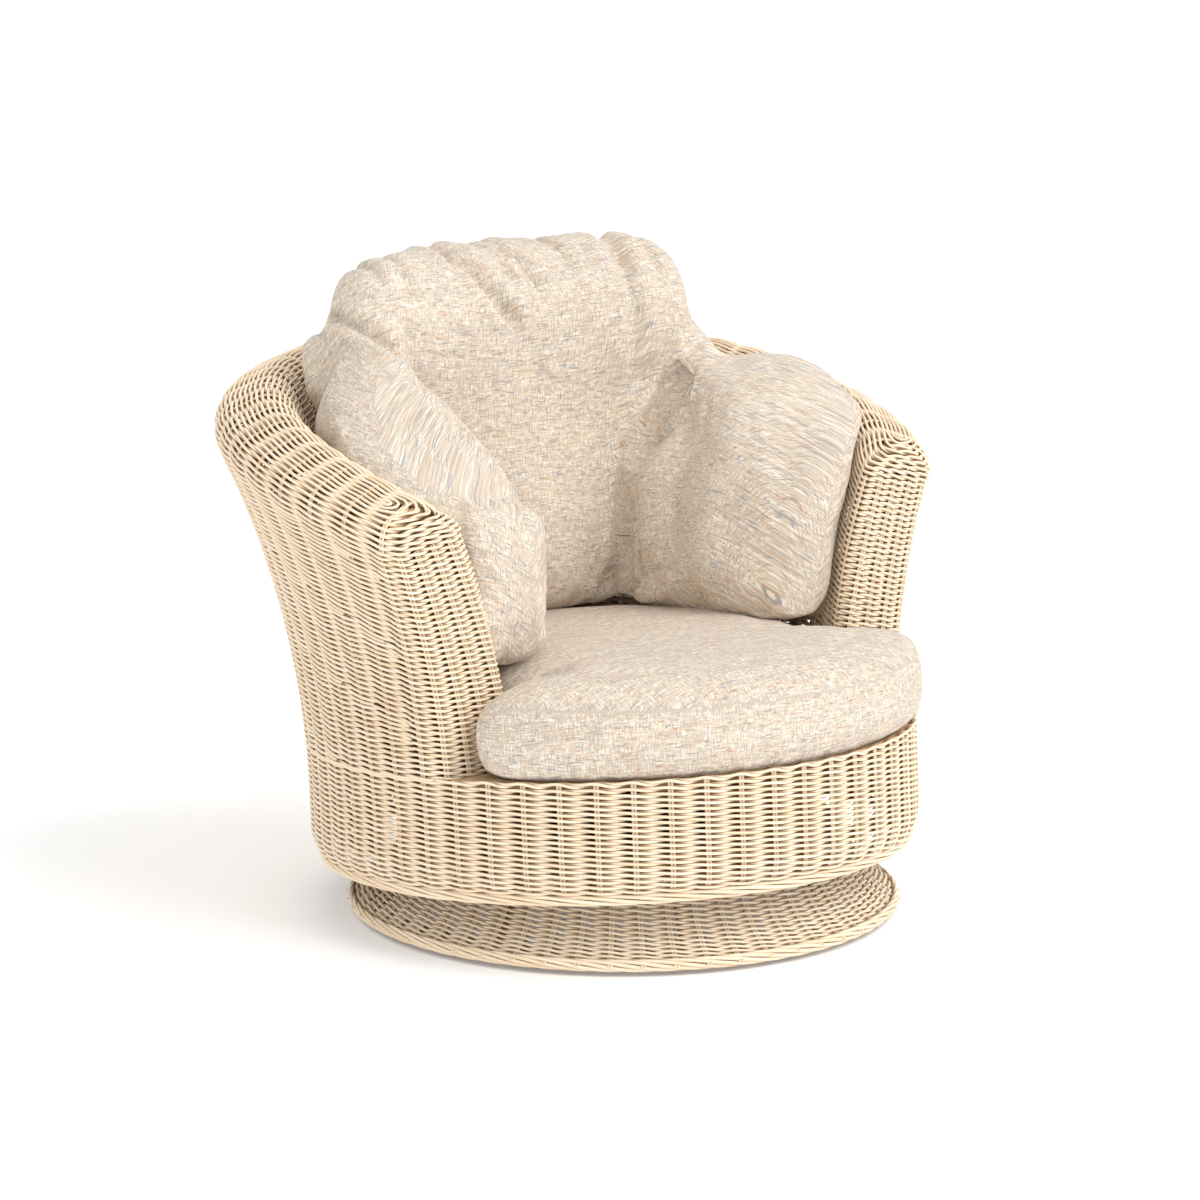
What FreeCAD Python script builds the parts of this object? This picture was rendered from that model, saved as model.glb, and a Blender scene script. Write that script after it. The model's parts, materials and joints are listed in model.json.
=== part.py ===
# Swivel rocking tub chair in woven cane, on a round woven base, with loose cushions.
# Units are millimetres. Z is up, the floor is Z = 0, the chair faces -Y, and the origin
# is on the floor at the swivel axis. Seat parts are drawn upright about the body's own
# centre, then set back and leaned as the chair rests when nobody sits in it.
import FreeCAD, Part
import math
import os

V = FreeCAD.Vector
os.makedirs("parts", exist_ok=True)

# Driving dimensions: the woven base
BASE_R = 360.0           # outside of the plaited border at the foot of the base
BASE_TOP_Z = 106.0       # top of the plywood board
BASE_TOP_R = 288.0       # outside of the woven skirt at its top
BOARD_THICK = 12.0
BOARD_PLAY = 1.0         # board's edge from the skirt
SKIN = 7.0               # thickness of the woven cane on every wall
SKIRT_FOOT = 0.6         # where on the border's height the skirt starts
SKIRT_DROP = 2.0         # top of the skirt below the board's top
SKIRT_WAIST_IN = 0.62    # the concave skirt's middle: share of its run inward and upward
SKIRT_WAIST_UP = 0.45
GLIDE_H = 6.0
GLIDE_R = 13.0
GLIDES = 6
BASE_CANE_R = 9.0        # poles and hoops of the base
BASE_POSTS = 8
BORDER_H = 17.0          # plaited border, height and depth
BORDER_D = 13.0
BASE_TOP_HOOP_IN = 4.0   # how far inside the flared skirt the top hoop lies
BASE_HOOP_SHARE = 0.8    # how far in the bottom hoop lies, as a share of the skirt's hollow
BASE_POST_SHARE = 0.3    # how far the posts stand inside the hoops, as a share of that hollow

# Driving dimensions: swivel bearing and rocker
PLATE = 180.0            # square steel plate under the bearing
PLATE_THICK = 3.0
PLATE_HOLE_PITCH = 150.0
SCREW_R = 3.0
SCREW_HEAD_R = 6.0
SCREW_HEAD_H = 3.0
SCREW_LENGTH = 10.0
RACE_R = 54.0            # pitch circle of the balls
RACE_W = 20.0
RACE_H = 5.0
RACE_GAP = 2.0
BALL_R = 4.0
BALL_PLAY = 0.2
BALLS = 20
BOLT_R = 8.0
BOLT_PLAY = 0.3
BOLT_HEAD_R = 14.5
BOLT_HEAD_H = 7.0
BOLT_END = 12.0          # how far the bolt stands out of the rocker's plate
NUT_R = 13.6             # across the corners, from the centre
NUT_H = 8.0
THREAD_PLAY = 0.1
YOKE_THICK = 4.0
YOKE_X = 210.0           # outside width of the lower rocker frame
YOKE_Y = 170.0
EAR_GAP = 4.0            # between a lower ear and the upper ear beside it
EAR_R = 14.0
PIVOT_RISE = 25.0        # rocking axis above the lower frame's plate
PIN_R = 6.0
PIN_PLAY = 0.08
PIN_END = 5.0            # how far a pin stands out at each end
BUSH_WALL = 4.0
TOP_PLATE_RISE = 32.0    # upper frame's plate above the rocking axis
TOP_PLATE_Y = 200.0
BUFFER_R = 12.0
BUFFER_Y = 68.0
BUFFER_X = 60.0
BUFFER_CLEAR = 1.0       # left between a buffer and the plate at the end of the rock
REST_LEAN = 3.4          # degrees that the empty chair leans back
ROCK_BACK = 6.0          # degrees of rocking from rest, back and forward
ROCK_FORWARD = 6.0

# Driving dimensions: the body
BODY_R = 396.0
BODY_SETBACK = 20.0      # body centre behind the swivel axis
RIM_Z = 88.0             # lower edge of the woven body
RIM_TUCK = 13.0          # how far the rim draws in
RIM_TUCK_H = 34.0
RIM_BRAID_R = 5.25       # plaited edge under the rim
APRON_Z = 233.0          # top of the front apron and of the seat deck
WALL_THICK = 108.0       # outside to inside of the hollow wall
FLARE_Z = 165.0          # where the wall starts to flare
FLARE_BACK = 82.0        # how far the wall flares at the back, the sides and the arm fronts
FLARE_SIDE = 97.0
FLARE_ARM = 56.0
FLARE_SIDE_AT = 52.0     # degrees from the back where it flares most
WALL_BACK_Z = 672.0      # height of the wall where the top roll begins, back and arm front
WALL_ARM_Z = 505.0
ROLL_H = 38.0            # corner radius of the top roll and its height above the wall's end
ROLL_CLEAR = 0.9         # between the roll's skin and the wall skins under it
ARM_ANGLE = 111.5        # degrees from the back where the arms end
SECTIONS = 19            # radial sections of the space inside the tub, which shapes the cushions
STAKE_PAIRS = 54         # pairs of upright stakes in a full turn, which the weave passes over
WEAVE_DIP = 3.0          # how far the woven surface sinks between two pairs

# Driving dimensions: cane frame inside the body
CANE_R = 8.0
RAIL_R = 6.0
BOWS = 13
BOW_CLEAR = 0.8          # between the bent canes and the weave round them
RAIL_POINTS = 13         # circles that half of a top rail is lofted through
RAIL_SHARE = 0.97        # how far up the flare the top rails run
APRON_POSTS = 5
SEAT_RAIL_W = 44.0
SEAT_RAIL_X = 82.0
SLAT_W = 42.0
SLATS = 5
SLAT_PITCH = 125.0
SLAT_H = 13.0
DECK_THICK = 6.0
FRAME_SCREW_R = 3.0
FRAME_SCREW_IN = 14.0    # screws from the ends of the rocker's top plate

# Driving dimensions: cushions
SEAT_CROWN = 122.0       # seat cushion, deck to crown
SEAT_OVERHANG = 12.0     # how far its round front stands out over the apron
SEAT_CORNER_R = 50.0
SEAT_EDGE_SHARE = 0.32   # how far in its rounded edge reaches, as a share of the tub's radius
SEAT_NECK_IN = 18.0      # how far the crown draws in at the neck between the arms
BACK_TOP_Z = 848.0
BACK_THICK = 150.0       # at the seat
BACK_TOP_THICK = 190.0
BACK_STAND_IN = 51.0     # how far its back stays inside the body's radius where the wall flares
BACK_SHIFT = -6.0        # the loose cushion has slid this far to the sitter's right at its top
BACK_BULGE = 24.0        # how far the middle of its front stands out
BACK_SIDE_SHARE = 0.6    # thickness at its sides as a share of the middle
BACK_FOOT_HALF = 150.0   # half width of the middle cushion at the seat
BACK_WIDE_HALF = 282.0   # and where it is widest
BACK_WIDE_Z = 710.0
BACK_EDGE = 90.0         # height over which the top edge rounds
BACK_CORNER = 120.0      # how far its top corners round off
WING_THICK = 170.0
WING_LEFT_TOP_Z = 690.0  # the loose cushion has sunk on the sitter's left
WING_RIGHT_TOP_Z = 752.0
WING_TIP_Z = 560.0
WING_TOP_ANGLE = 70.0    # degrees from the back where its top edge starts to fall
WING_BACK_IN = 6.0       # how far behind the arm fronts the wings end
WING_SLOPE = 2.0         # how roundly the top edge falls to the tip
WING_END = 0.4           # share of its length over which a wing's ends round
WING_EDGE = 80.0
WING_GAP = 5.0           # between a wing and the middle cushion
CUSHION_CLEAR = 2.0      # loose cushions from the woven wall
LAYER_GAP = 0.5          # clearance of a cushion from what it rests on

SEAT_CLEAR = 0.3         # clearance of a fitted piece from its seat

# Sizes that follow
arm_front = BODY_R * math.sin(math.radians(ARM_ANGLE - 90.0))
stake_step = 360.0 / STAKE_PAIRS
tub_r = BODY_R - WALL_THICK
back_reach = BODY_R - BACK_STAND_IN
plate_z = BASE_TOP_Z
race_z = plate_z + PLATE_THICK
upper_race_z = race_z + RACE_H + RACE_GAP
yoke_z = upper_race_z + RACE_H
pivot_z = yoke_z + YOKE_THICK + PIVOT_RISE
top_plate_z = pivot_z + TOP_PLATE_RISE
rail_z = top_plate_z + YOKE_THICK
slat_z = APRON_Z - DECK_THICK - SLAT_H
rail_h = slat_z - rail_z
leg_r = BODY_R - SKIN - SEAT_CLEAR - CANE_R
seat_hoop_r = leg_r - CANE_R - SEAT_CLEAR - CANE_R
deck_r = leg_r - CANE_R - SEAT_CLEAR


def box(x0, x1, y0, y1, z0, z1):
    return Part.makeBox(x1 - x0, y1 - y0, z1 - z0, V(x0, y0, z0))


def disc(radius, z0, z1, x=0.0, y=0.0):
    return Part.makeCylinder(radius, z1 - z0, V(x, y, z0))


def annulus(outer, inner, z0, z1):
    return disc(outer, z0, z1).cut(disc(inner, z0 - 1, z1 + 1))


def hoop(radius, z, wire_r):
    return Part.makeTorus(radius, wire_r, V(0, 0, z), V(0, 0, 1))


def polar(radius, degrees, z=0.0):
    """A point at an angle measured from the back (+Y) towards +X."""
    a = math.radians(degrees)
    return V(radius * math.sin(a), radius * math.cos(a), z)


def spread(count, low, high):
    return [low + (high - low) * i / (count - 1) for i in range(count)]


def spline(points):
    curve = Part.BSplineCurve()
    curve.interpolate(points)
    return curve.toShape()


def bent_rail(angles, run, radius):
    """A cane bent round the chair, its half lofted through circles in radial planes and mirrored."""
    rings = []
    for a, (r, z) in zip(angles, run):
        ring = Part.Wire([Part.Circle(V(0, r, z), V(1, 0, 0), radius).toShape()])
        ring.rotate(V(0, 0, 0), V(0, 0, 1), -a)
        rings.append(ring)
    half = Part.makeLoft(rings, True, False)
    return half.fuse(half.mirror(V(0, 0, 0), V(1, 0, 0)))


def pole(a, b, radius):
    return Part.makeCylinder(radius, (b - a).Length, a, b - a)


def group(shapes):
    return Part.Compound([s for shape in shapes for s in shape.Solids])


def seated(shape):
    """Move a part drawn about the body's centre to where the empty chair holds it."""
    moved = shape.copy()
    moved.translate(V(0, BODY_SETBACK, 0))
    return leaned(moved)


def leaned(shape):
    moved = shape.copy()
    moved.rotate(V(0, 0, pivot_z), V(1, 0, 0), -REST_LEAN)
    return moved


def save(name, shape):
    shape.exportStep("parts/" + name + ".step")
    print(name, len(shape.Solids), "solids", round(shape.Volume / 1000.0, 1), "cm3", shape.isValid())


# The body wall as a profile that changes round the chair
def flare(degrees):
    off = min(abs(degrees), ARM_ANGLE) - FLARE_SIDE_AT
    if off < 0:
        return FLARE_SIDE - (FLARE_SIDE - FLARE_BACK) * (off / FLARE_SIDE_AT) ** 2
    return FLARE_SIDE - (FLARE_SIDE - FLARE_ARM) * (off / (ARM_ANGLE - FLARE_SIDE_AT)) ** 2


def wall_top(degrees):
    share = min(abs(degrees) / ARM_ANGLE, 1.0)
    return WALL_BACK_Z - (WALL_BACK_Z - WALL_ARM_Z) * share ** 2


def flare_arc(degrees):
    """Radius of the flare's arc, whose centre lies outside the wall, and its turn."""
    height = wall_top(degrees) - FLARE_Z
    bend = (height ** 2 + flare(degrees) ** 2) / (2 * flare(degrees))
    return bend, math.asin(height / bend)


def flare_point(degrees, share, depth):
    """Radius and height on the flared wall, share 0 at its foot to 1 where the roll begins."""
    bend, turn = flare_arc(degrees)
    a = turn * share
    return BODY_R + bend - (bend + depth) * math.cos(a), FLARE_Z + (bend + depth) * math.sin(a)


def roll_points(degrees, depth, lift=0.0):
    """Seven points of the top roll, from the outside over the top to the inside."""
    turn = flare_arc(degrees)[1]
    out = (math.cos(turn), -math.sin(turn))
    up = (math.sin(turn), math.cos(turn))
    r0, z0 = flare_point(degrees, 1.0, 0.0)
    small = ROLL_H - depth
    half = math.sqrt(0.5) * small
    far_side = WALL_THICK - ROLL_H
    steps = ((ROLL_H - small, 0.0), (ROLL_H - half, half), (ROLL_H, small), (WALL_THICK / 2, small),
             (far_side, small), (far_side + half, half), (far_side + small, 0.0))
    return [(r0 - out[0] * i + up[0] * (h + lift), z0 - out[1] * i + up[1] * (h + lift)) for i, h in steps]


def tuck_arc():
    bend = (RIM_TUCK_H ** 2 + RIM_TUCK ** 2) / (2 * RIM_TUCK)
    return bend, math.asin(RIM_TUCK_H / bend)


def tuck_points(depth):
    """The rim's arc from its lower edge up to the upright wall."""
    bend, turn = tuck_arc()
    run = bend - depth
    return [(BODY_R - bend + run * math.cos(a), RIM_Z + RIM_TUCK_H - run * math.sin(a))
            for a in (turn, turn / 2, 0.0)]


def line(a, b):
    return Part.LineSegment(a, b).toShape()


def arc(points):
    return Part.Arc(*points).toShape()


def outer_run(degrees, depth):
    """Edges of the outer wall, from the rim to where the roll begins."""
    place = lambda p: polar(p[0], degrees, p[1])
    tuck = [place(p) for p in tuck_points(depth)]
    bend = [place(flare_point(degrees, t, depth)) for t in (0.0, 0.5, 1.0)]
    return [arc(tuck), line(tuck[2], bend[0]), arc(bend)], tuck[0], bend[2]


def roll_run(degrees, depth, lift=0.0):
    points = [polar(r, degrees, z) for r, z in roll_points(degrees, depth, lift)]
    return [arc(points[0:3]), line(points[2], points[4]), arc(points[4:7])], points[0], points[6]


def inner_run(degrees, depth, foot):
    """Edges of the inner wall, from the deck up to where the roll ends."""
    bend, turn = flare_arc(degrees)
    first = math.asin((foot - FLARE_Z) / (bend + depth)) / turn
    rises = [flare_point(degrees, t, depth) for t in (first, (first + 1) / 2, 1.0)]
    points = [polar(r, degrees, z) for r, z in rises]
    return [arc(points)], points[0], points[2]


def strip(one, other):
    """One closed section of woven skin between its outer and inner runs."""
    edges = one[0] + [line(one[2], other[2])] + other[0] + [line(other[1], one[1])]
    return Part.Wire(Part.__sortEdges__(edges))


deck_foot = APRON_Z + SEAT_CLEAR
far = 2 * BODY_R
front_cut = box(-far, far, -far, SKIN - arm_front, APRON_Z, 2 * WALL_BACK_Z)


def wall_loft(section, end):
    """A solid lofted round the chair through radial sections, to an angle each way."""
    return Part.makeLoft([section(a) for a in spread(SECTIONS, -end, end)], True, False)


def both_halves(half):
    """A half that ends on the middle plane, fused with its mirror image."""
    return half.fuse(half.mirror(V(0, 0, 0), V(1, 0, 0)))


def weave_dip(degrees):
    """Depth of the woven surface: level at each pair of stakes and beside the arm fronts."""
    if abs(abs(degrees) - ARM_ANGLE) < stake_step or abs(degrees) > 360.0 - ARM_ANGLE - stake_step:
        return 0.0
    return WEAVE_DIP * math.sin(math.pi * degrees / stake_step) ** 2


def woven_loft(section, start, end):
    """A skin lofted through a section at each pair of stakes and each dip, and at both ends."""
    half = stake_step / 2
    first = math.ceil((start + half / 3) / half)
    last = math.floor((end - half / 3) / half)
    angles = [start] + [k * half for k in range(first, last + 1)] + [end]
    return Part.makeLoft([section(a) for a in angles], True, True)


def inside_end(radius):
    """Angle at which an inner wall of this radius has passed the arm fronts."""
    return 91.0 + math.degrees(math.asin(arm_front / radius))


def make_wall_skins():
    section = lambda a: strip(outer_run(a, weave_dip(a)), outer_run(a, SKIN))
    save("outer_wall_weave", seated(both_halves(woven_loft(section, 0.0, ARM_ANGLE).cut(front_cut))))
    end = inside_end(tub_r)
    section = lambda a: strip(roll_run(a, weave_dip(a), ROLL_CLEAR), roll_run(a, SKIN, ROLL_CLEAR))
    save("top_roll_weave", seated(both_halves(woven_loft(section, 0.0, end).cut(front_cut))))
    section = lambda a: strip(inner_run(a, WALL_THICK - SKIN, deck_foot),
                              inner_run(a, WALL_THICK - weave_dip(a), deck_foot))
    save("inner_wall_weave", seated(both_halves(woven_loft(section, 0.0, end).cut(front_cut))))


def tub_section(degrees):
    """The hollow wall and its roll, grown by the cushions' clearance."""
    rise, foot, _ = inner_run(degrees, WALL_THICK + CUSHION_CLEAR, deck_foot)
    over, start, _ = roll_run(degrees, -CUSHION_CLEAR)
    corner = polar(BODY_R, degrees, deck_foot)
    edges = rise + over + [line(start, corner), line(corner, foot)]
    return Part.Wire(Part.__sortEdges__(edges))


def make_arm_front(name, side):
    """The woven face that closes the hollow wall at an arm's front, a flat slab."""
    bend, turn = flare_arc(ARM_ANGLE)
    low = math.asin((deck_foot - FLARE_Z) / bend) / turn
    up = [flare_point(ARM_ANGLE, t, 0.0) for t in spread(5, low, 1.0)]
    over = roll_points(ARM_ANGLE, 0.0)
    low = math.asin((deck_foot - FLARE_Z) / (bend + WALL_THICK)) / turn
    down = [flare_point(ARM_ANGLE, t, WALL_THICK) for t in spread(5, 1.0, low)]
    place = lambda p: V(math.sqrt(p[0] ** 2 - arm_front ** 2), -arm_front, p[1])
    up, over, down = [[place(p) for p in run] for run in (up, over, down)]
    edges = [spline(up), spline(over[0:3]), line(over[2], over[4]), spline(over[4:7]),
             spline(down), line(down[-1], up[0])]
    face = Part.Face(Part.Wire(Part.__sortEdges__(edges)))
    slab = face.extrude(V(0, SKIN - SEAT_CLEAR, 0))
    if side < 0:
        slab = slab.mirror(V(0, 0, 0), V(1, 0, 0))
    save(name, seated(slab))


def make_apron():
    def run(degrees, depth):
        places = [polar(r, degrees, z) for r, z in tuck_points(depth) + [(BODY_R - depth, APRON_Z)]]
        return [arc(places[0:3]), line(places[2], places[3])], places[0], places[3]

    section = lambda a: strip(run(a, weave_dip(a)), run(a, SKIN))
    save("apron_weave", seated(woven_loft(section, ARM_ANGLE, 360.0 - ARM_ANGLE)))


def make_rim_braid():
    turn = tuck_arc()[1]
    edge_r, edge_z = tuck_points(SKIN / 2)[0]
    reach = RIM_BRAID_R + SEAT_CLEAR
    braid = hoop(edge_r - reach * math.sin(turn), edge_z - reach * math.cos(turn), RIM_BRAID_R)
    save("rim_braid", seated(braid))


# Cane frame inside the body
def make_body_frame():
    hoop_z = RIM_Z + RIM_TUCK_H + CANE_R
    save("body_hoop", seated(hoop(leg_r, hoop_z, CANE_R)))
    save("seat_hoop", seated(hoop(seat_hoop_r, slat_z - CANE_R, CANE_R)))
    foot_z = hoop_z + CANE_R + SEAT_CLEAR
    depth = SKIN + BOW_CLEAR + CANE_R
    last = ARM_ANGLE - math.degrees((SKIN + 3 * CANE_R) / BODY_R)
    bows = []
    for a in spread(BOWS, -last, last):
        bend = [polar(r, a, z) for r, z in (flare_point(a, t, depth) for t in (0.0, 0.5, 1.0))]
        start = polar(leg_r, a, foot_z)
        top, _, _ = roll_run(a, depth)
        down, low, _ = inner_run(a, WALL_THICK - depth, deck_foot + CANE_R / 2)
        path = Part.Wire([line(start, bend[0]), arc(bend)] + top + down)
        ring = Part.Wire([Part.Circle(start, V(0, 0, 1), CANE_R).toShape()])
        bows.append(path.makePipeShell([ring], True, False))
    save("wall_bows", seated(group(bows)))
    rail_depth = depth + CANE_R + SEAT_CLEAR + RAIL_R
    rail_angles = spread(RAIL_POINTS, 0.0, last)
    for name, inset in (("outer_top_rail", rail_depth), ("inner_top_rail", WALL_THICK - rail_depth)):
        run = [flare_point(a, RAIL_SHARE, inset) for a in rail_angles]
        save(name, seated(bent_rail(rail_angles, run, RAIL_R)))
    post_top = APRON_Z - 2 * RAIL_R - SEAT_CLEAR
    half = 180.0 - ARM_ANGLE
    posts = []
    for a in spread(APRON_POSTS, 180.0 - half * 0.86, 180.0 + half * 0.86):
        posts.append(pole(polar(leg_r, a, foot_z), polar(leg_r, a, post_top), CANE_R))
    save("apron_posts", seated(group(posts)))
    rail = Part.makeTorus(leg_r, RAIL_R, V(0, 0, APRON_Z - RAIL_R), V(0, 0, 1), -180, 180, 2 * half)
    rail.rotate(V(0, 0, 0), V(0, 0, 1), 270.0 - half)
    save("apron_rail", seated(rail))


def make_seat_deck():
    reach = seat_hoop_r - CANE_R - SEAT_CLEAR
    inside = disc(reach, rail_z, APRON_Z)
    rails = []
    for x in (-SEAT_RAIL_X, SEAT_RAIL_X):
        rails.append(box(x - SEAT_RAIL_W / 2, x + SEAT_RAIL_W / 2, -far, far,
                         rail_z, slat_z).common(inside))
    save("seat_rails", seated(group(rails)))
    bed = disc(deck_r - SEAT_CLEAR, slat_z, APRON_Z)
    slats = []
    for y in spread(SLATS, -SLAT_PITCH * (SLATS - 1) / 2, SLAT_PITCH * (SLATS - 1) / 2):
        slats.append(box(-far, far, y - SLAT_W / 2, y + SLAT_W / 2,
                         slat_z, slat_z + SLAT_H).common(bed))
    save("seat_slats", seated(group(slats)))
    save("seat_deck", seated(disc(deck_r, slat_z + SLAT_H, APRON_Z)))


# Cushions
def seat_outline(z, inset):
    """Plan of the seat cushion: a round tongue in the tub and a wide round front."""
    back_r = tub_r - CUSHION_CLEAR - inset
    front_r = BODY_R + SEAT_OVERHANG - inset
    neck_y = -(arm_front + CUSHION_CLEAR + min(inset, SEAT_NECK_IN))
    cy = neck_y - SEAT_CORNER_R
    core = front_r - SEAT_CORNER_R
    cx = math.sqrt(core ** 2 - cy ** 2)
    touch = V(cx, cy, 0) * (front_r / core)
    neck_x = math.sqrt(back_r ** 2 - neck_y ** 2)
    mid = V(cx, cy, 0) + V(touch.x - cx, touch.y - cy + SEAT_CORNER_R, 0).normalize() * SEAT_CORNER_R
    right = [V(neck_x, neck_y, 0), V(cx, neck_y, 0), mid, touch]
    left = [V(-p.x, p.y, 0) for p in right]
    up = V(0, 0, z)
    lift = lambda *points: [p + up for p in points]
    edges = [arc(lift(V(0, back_r, 0), V(back_r, 0, 0), right[0])),
             line(*lift(right[0], right[1])),
             arc(lift(right[1], right[2], right[3])),
             arc(lift(right[3], V(0, -front_r, 0), left[3])),
             arc(lift(left[3], left[2], left[1])),
             line(*lift(left[1], left[0])),
             arc(lift(left[0], V(-back_r, 0, 0), V(0, back_r, 0)))]
    return Part.Wire(edges)


def make_seat_cushion():
    foot = APRON_Z + LAYER_GAP
    edge = SEAT_EDGE_SHARE * tub_r
    levels = ((0.0, 0.16), (0.13, 0.03), (0.38, 0.0), (0.66, 0.03), (0.82, 0.14), (0.92, 0.39), (1.0, 1.0))
    rings = [seat_outline(foot + SEAT_CROWN * h, edge * share) for h, share in levels]
    save("seat_cushion", seated(Part.makeLoft(rings, True, False)))


cushion_foot = APRON_Z + SEAT_CROWN + 2 * LAYER_GAP


def tub_radius(degrees, z):
    """Inside of the tub at a height: the inner wall, then over the inner half of the roll."""
    bend, turn = flare_arc(degrees)
    top_r, top_z = flare_point(degrees, 1.0, WALL_THICK)
    if z <= top_z:
        reach = bend + WALL_THICK
        lift = max(0.0, z - FLARE_Z)
        return BODY_R + bend - math.sqrt(reach ** 2 - lift ** 2) - CUSHION_CLEAR
    centre_r = top_r + ROLL_H * math.cos(turn)
    centre_z = top_z - ROLL_H * math.sin(turn)
    rise = min(z - centre_z, ROLL_H)
    return centre_r - math.sqrt(ROLL_H ** 2 - rise ** 2) - CUSHION_CLEAR * (1 + rise / ROLL_H)


def dome(share):
    """Rounding of a cushion's edge: 0 at the edge to 1 one rounding in from it."""
    return math.sqrt(1.0 - (1.0 - max(0.0, min(1.0, share))) ** 2)


def arcs_through(p):
    """A closed cushion outline as arcs, each through one point to the next but one."""
    loop = p + [p[0]]
    return Part.Wire([arc(loop[i:i + 3]) for i in range(0, len(p), 2)])


def back_half(z):
    grow = min((z - cushion_foot) / (BACK_WIDE_Z - cushion_foot), 1.0)
    return BACK_FOOT_HALF + (BACK_WIDE_HALF - BACK_FOOT_HALF) * grow ** 2


def back_ring(z):
    """Plan of the middle back cushion at one height."""
    share = (z - cushion_foot) / (BACK_TOP_Z - cushion_foot)
    full = BACK_THICK + (BACK_TOP_THICK - BACK_THICK) * share
    edge = dome((BACK_TOP_Z - z) / BACK_EDGE)
    foot = dome((z - cushion_foot) / BACK_EDGE + 0.2)
    thick = full * edge * foot
    half = back_half(z) - BACK_CORNER * (1 - edge)
    behind = min(tub_radius(0.0, z), back_reach) - (full - thick) / 2
    turn = 0.84 * math.asin(half / behind)
    front = behind - thick
    side_y = (behind * math.cos(turn) + front) / 2
    corner = V(behind * math.sin(turn), behind * math.cos(turn), z)
    side = V(half, side_y, z)
    inside = V(half * 0.84, min(front + BACK_BULGE, corner.y - thick * BACK_SIDE_SHARE), z)
    flip = lambda p: V(-p.x, p.y, p.z)
    outline = [flip(corner), V(0, behind, z), corner, side, inside, V(0, front, z), flip(inside), flip(side)]
    return arcs_through([p + V(BACK_SHIFT * share, 0, 0) for p in outline])


def make_back_cushion():
    rise = BACK_TOP_Z - cushion_foot
    levels = (0.0, 0.05, 0.16, 0.36, 0.56, 0.72, 0.83, 0.9, 0.95, 0.98)
    rings = [back_ring(cushion_foot + rise * level) for level in levels]
    save("back_cushion", seated(Part.makeLoft(rings, True, False)))


def wing_ring(z, top):
    """Plan of a wing at one height: it follows the tub from the middle cushion to its tip."""
    back = min(tub_radius(WING_TOP_ANGLE, z), back_reach) - WING_THICK / 2
    start = math.degrees(math.asin(min(0.9, (back_half(z) + WING_GAP) / back)))
    past = max(0.0, z - WING_TIP_Z) / (top - WING_TIP_Z)
    front = 90.0 + math.degrees(math.asin((arm_front - WING_BACK_IN) / tub_radius(ARM_ANGLE, z)))
    end = front - (front - WING_TOP_ANGLE) * (1 - (1 - past) ** (1 / WING_SLOPE))
    full = WING_THICK * dome((top - z) / WING_EDGE) * dome((z - cushion_foot) / WING_EDGE + 0.2)

    def place(share, depth):
        a = start + (end - start) * share
        thick = full * dome((1 - share) / WING_END + 0.1) * dome(share / WING_END + 0.35)
        return polar(tub_radius(a, z) + 2 * CUSHION_CLEAR - (WING_THICK - full) * 0.4 - thick * depth, a, z)

    outer = [place(share, 0.0) for share in (0.05, 0.5, 0.95)]
    inner = [place(share, 1.0) for share in (0.95, 0.75, 0.5, 0.25, 0.05)]
    return arcs_through(outer + [place(1.0, 0.5)] + inner + [place(0.0, 0.5)])


def make_wing(name, side, top):
    rise = top - cushion_foot
    levels = (0.0, 0.06, 0.18, 0.36, 0.54, 0.68, 0.8, 0.89, 0.95, 0.975)
    wing = Part.makeLoft([wing_ring(cushion_foot + rise * level, top) for level in levels], True, False)
    wing = wing.cut(wall_loft(tub_section, inside_end(tub_r)))
    wing = max(wing.Solids, key=lambda solid: solid.Volume)
    if side < 0:
        wing = wing.mirror(V(0, 0, 0), V(1, 0, 0))
    save(name, seated(wing))


# The woven base
def skirt_profile(drop):
    """Concave run of the skirt from its foot to its top, set in by a depth."""
    foot = V(BASE_R - BORDER_D - drop, 0, GLIDE_H + BORDER_H * SKIRT_FOOT)
    head = V(BASE_TOP_R - drop, 0, BASE_TOP_Z - SKIRT_DROP)
    waist = V(foot.x + (head.x - foot.x) * SKIRT_WAIST_IN, 0, foot.z + (head.z - foot.z) * SKIRT_WAIST_UP)
    return foot, waist, head


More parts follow.
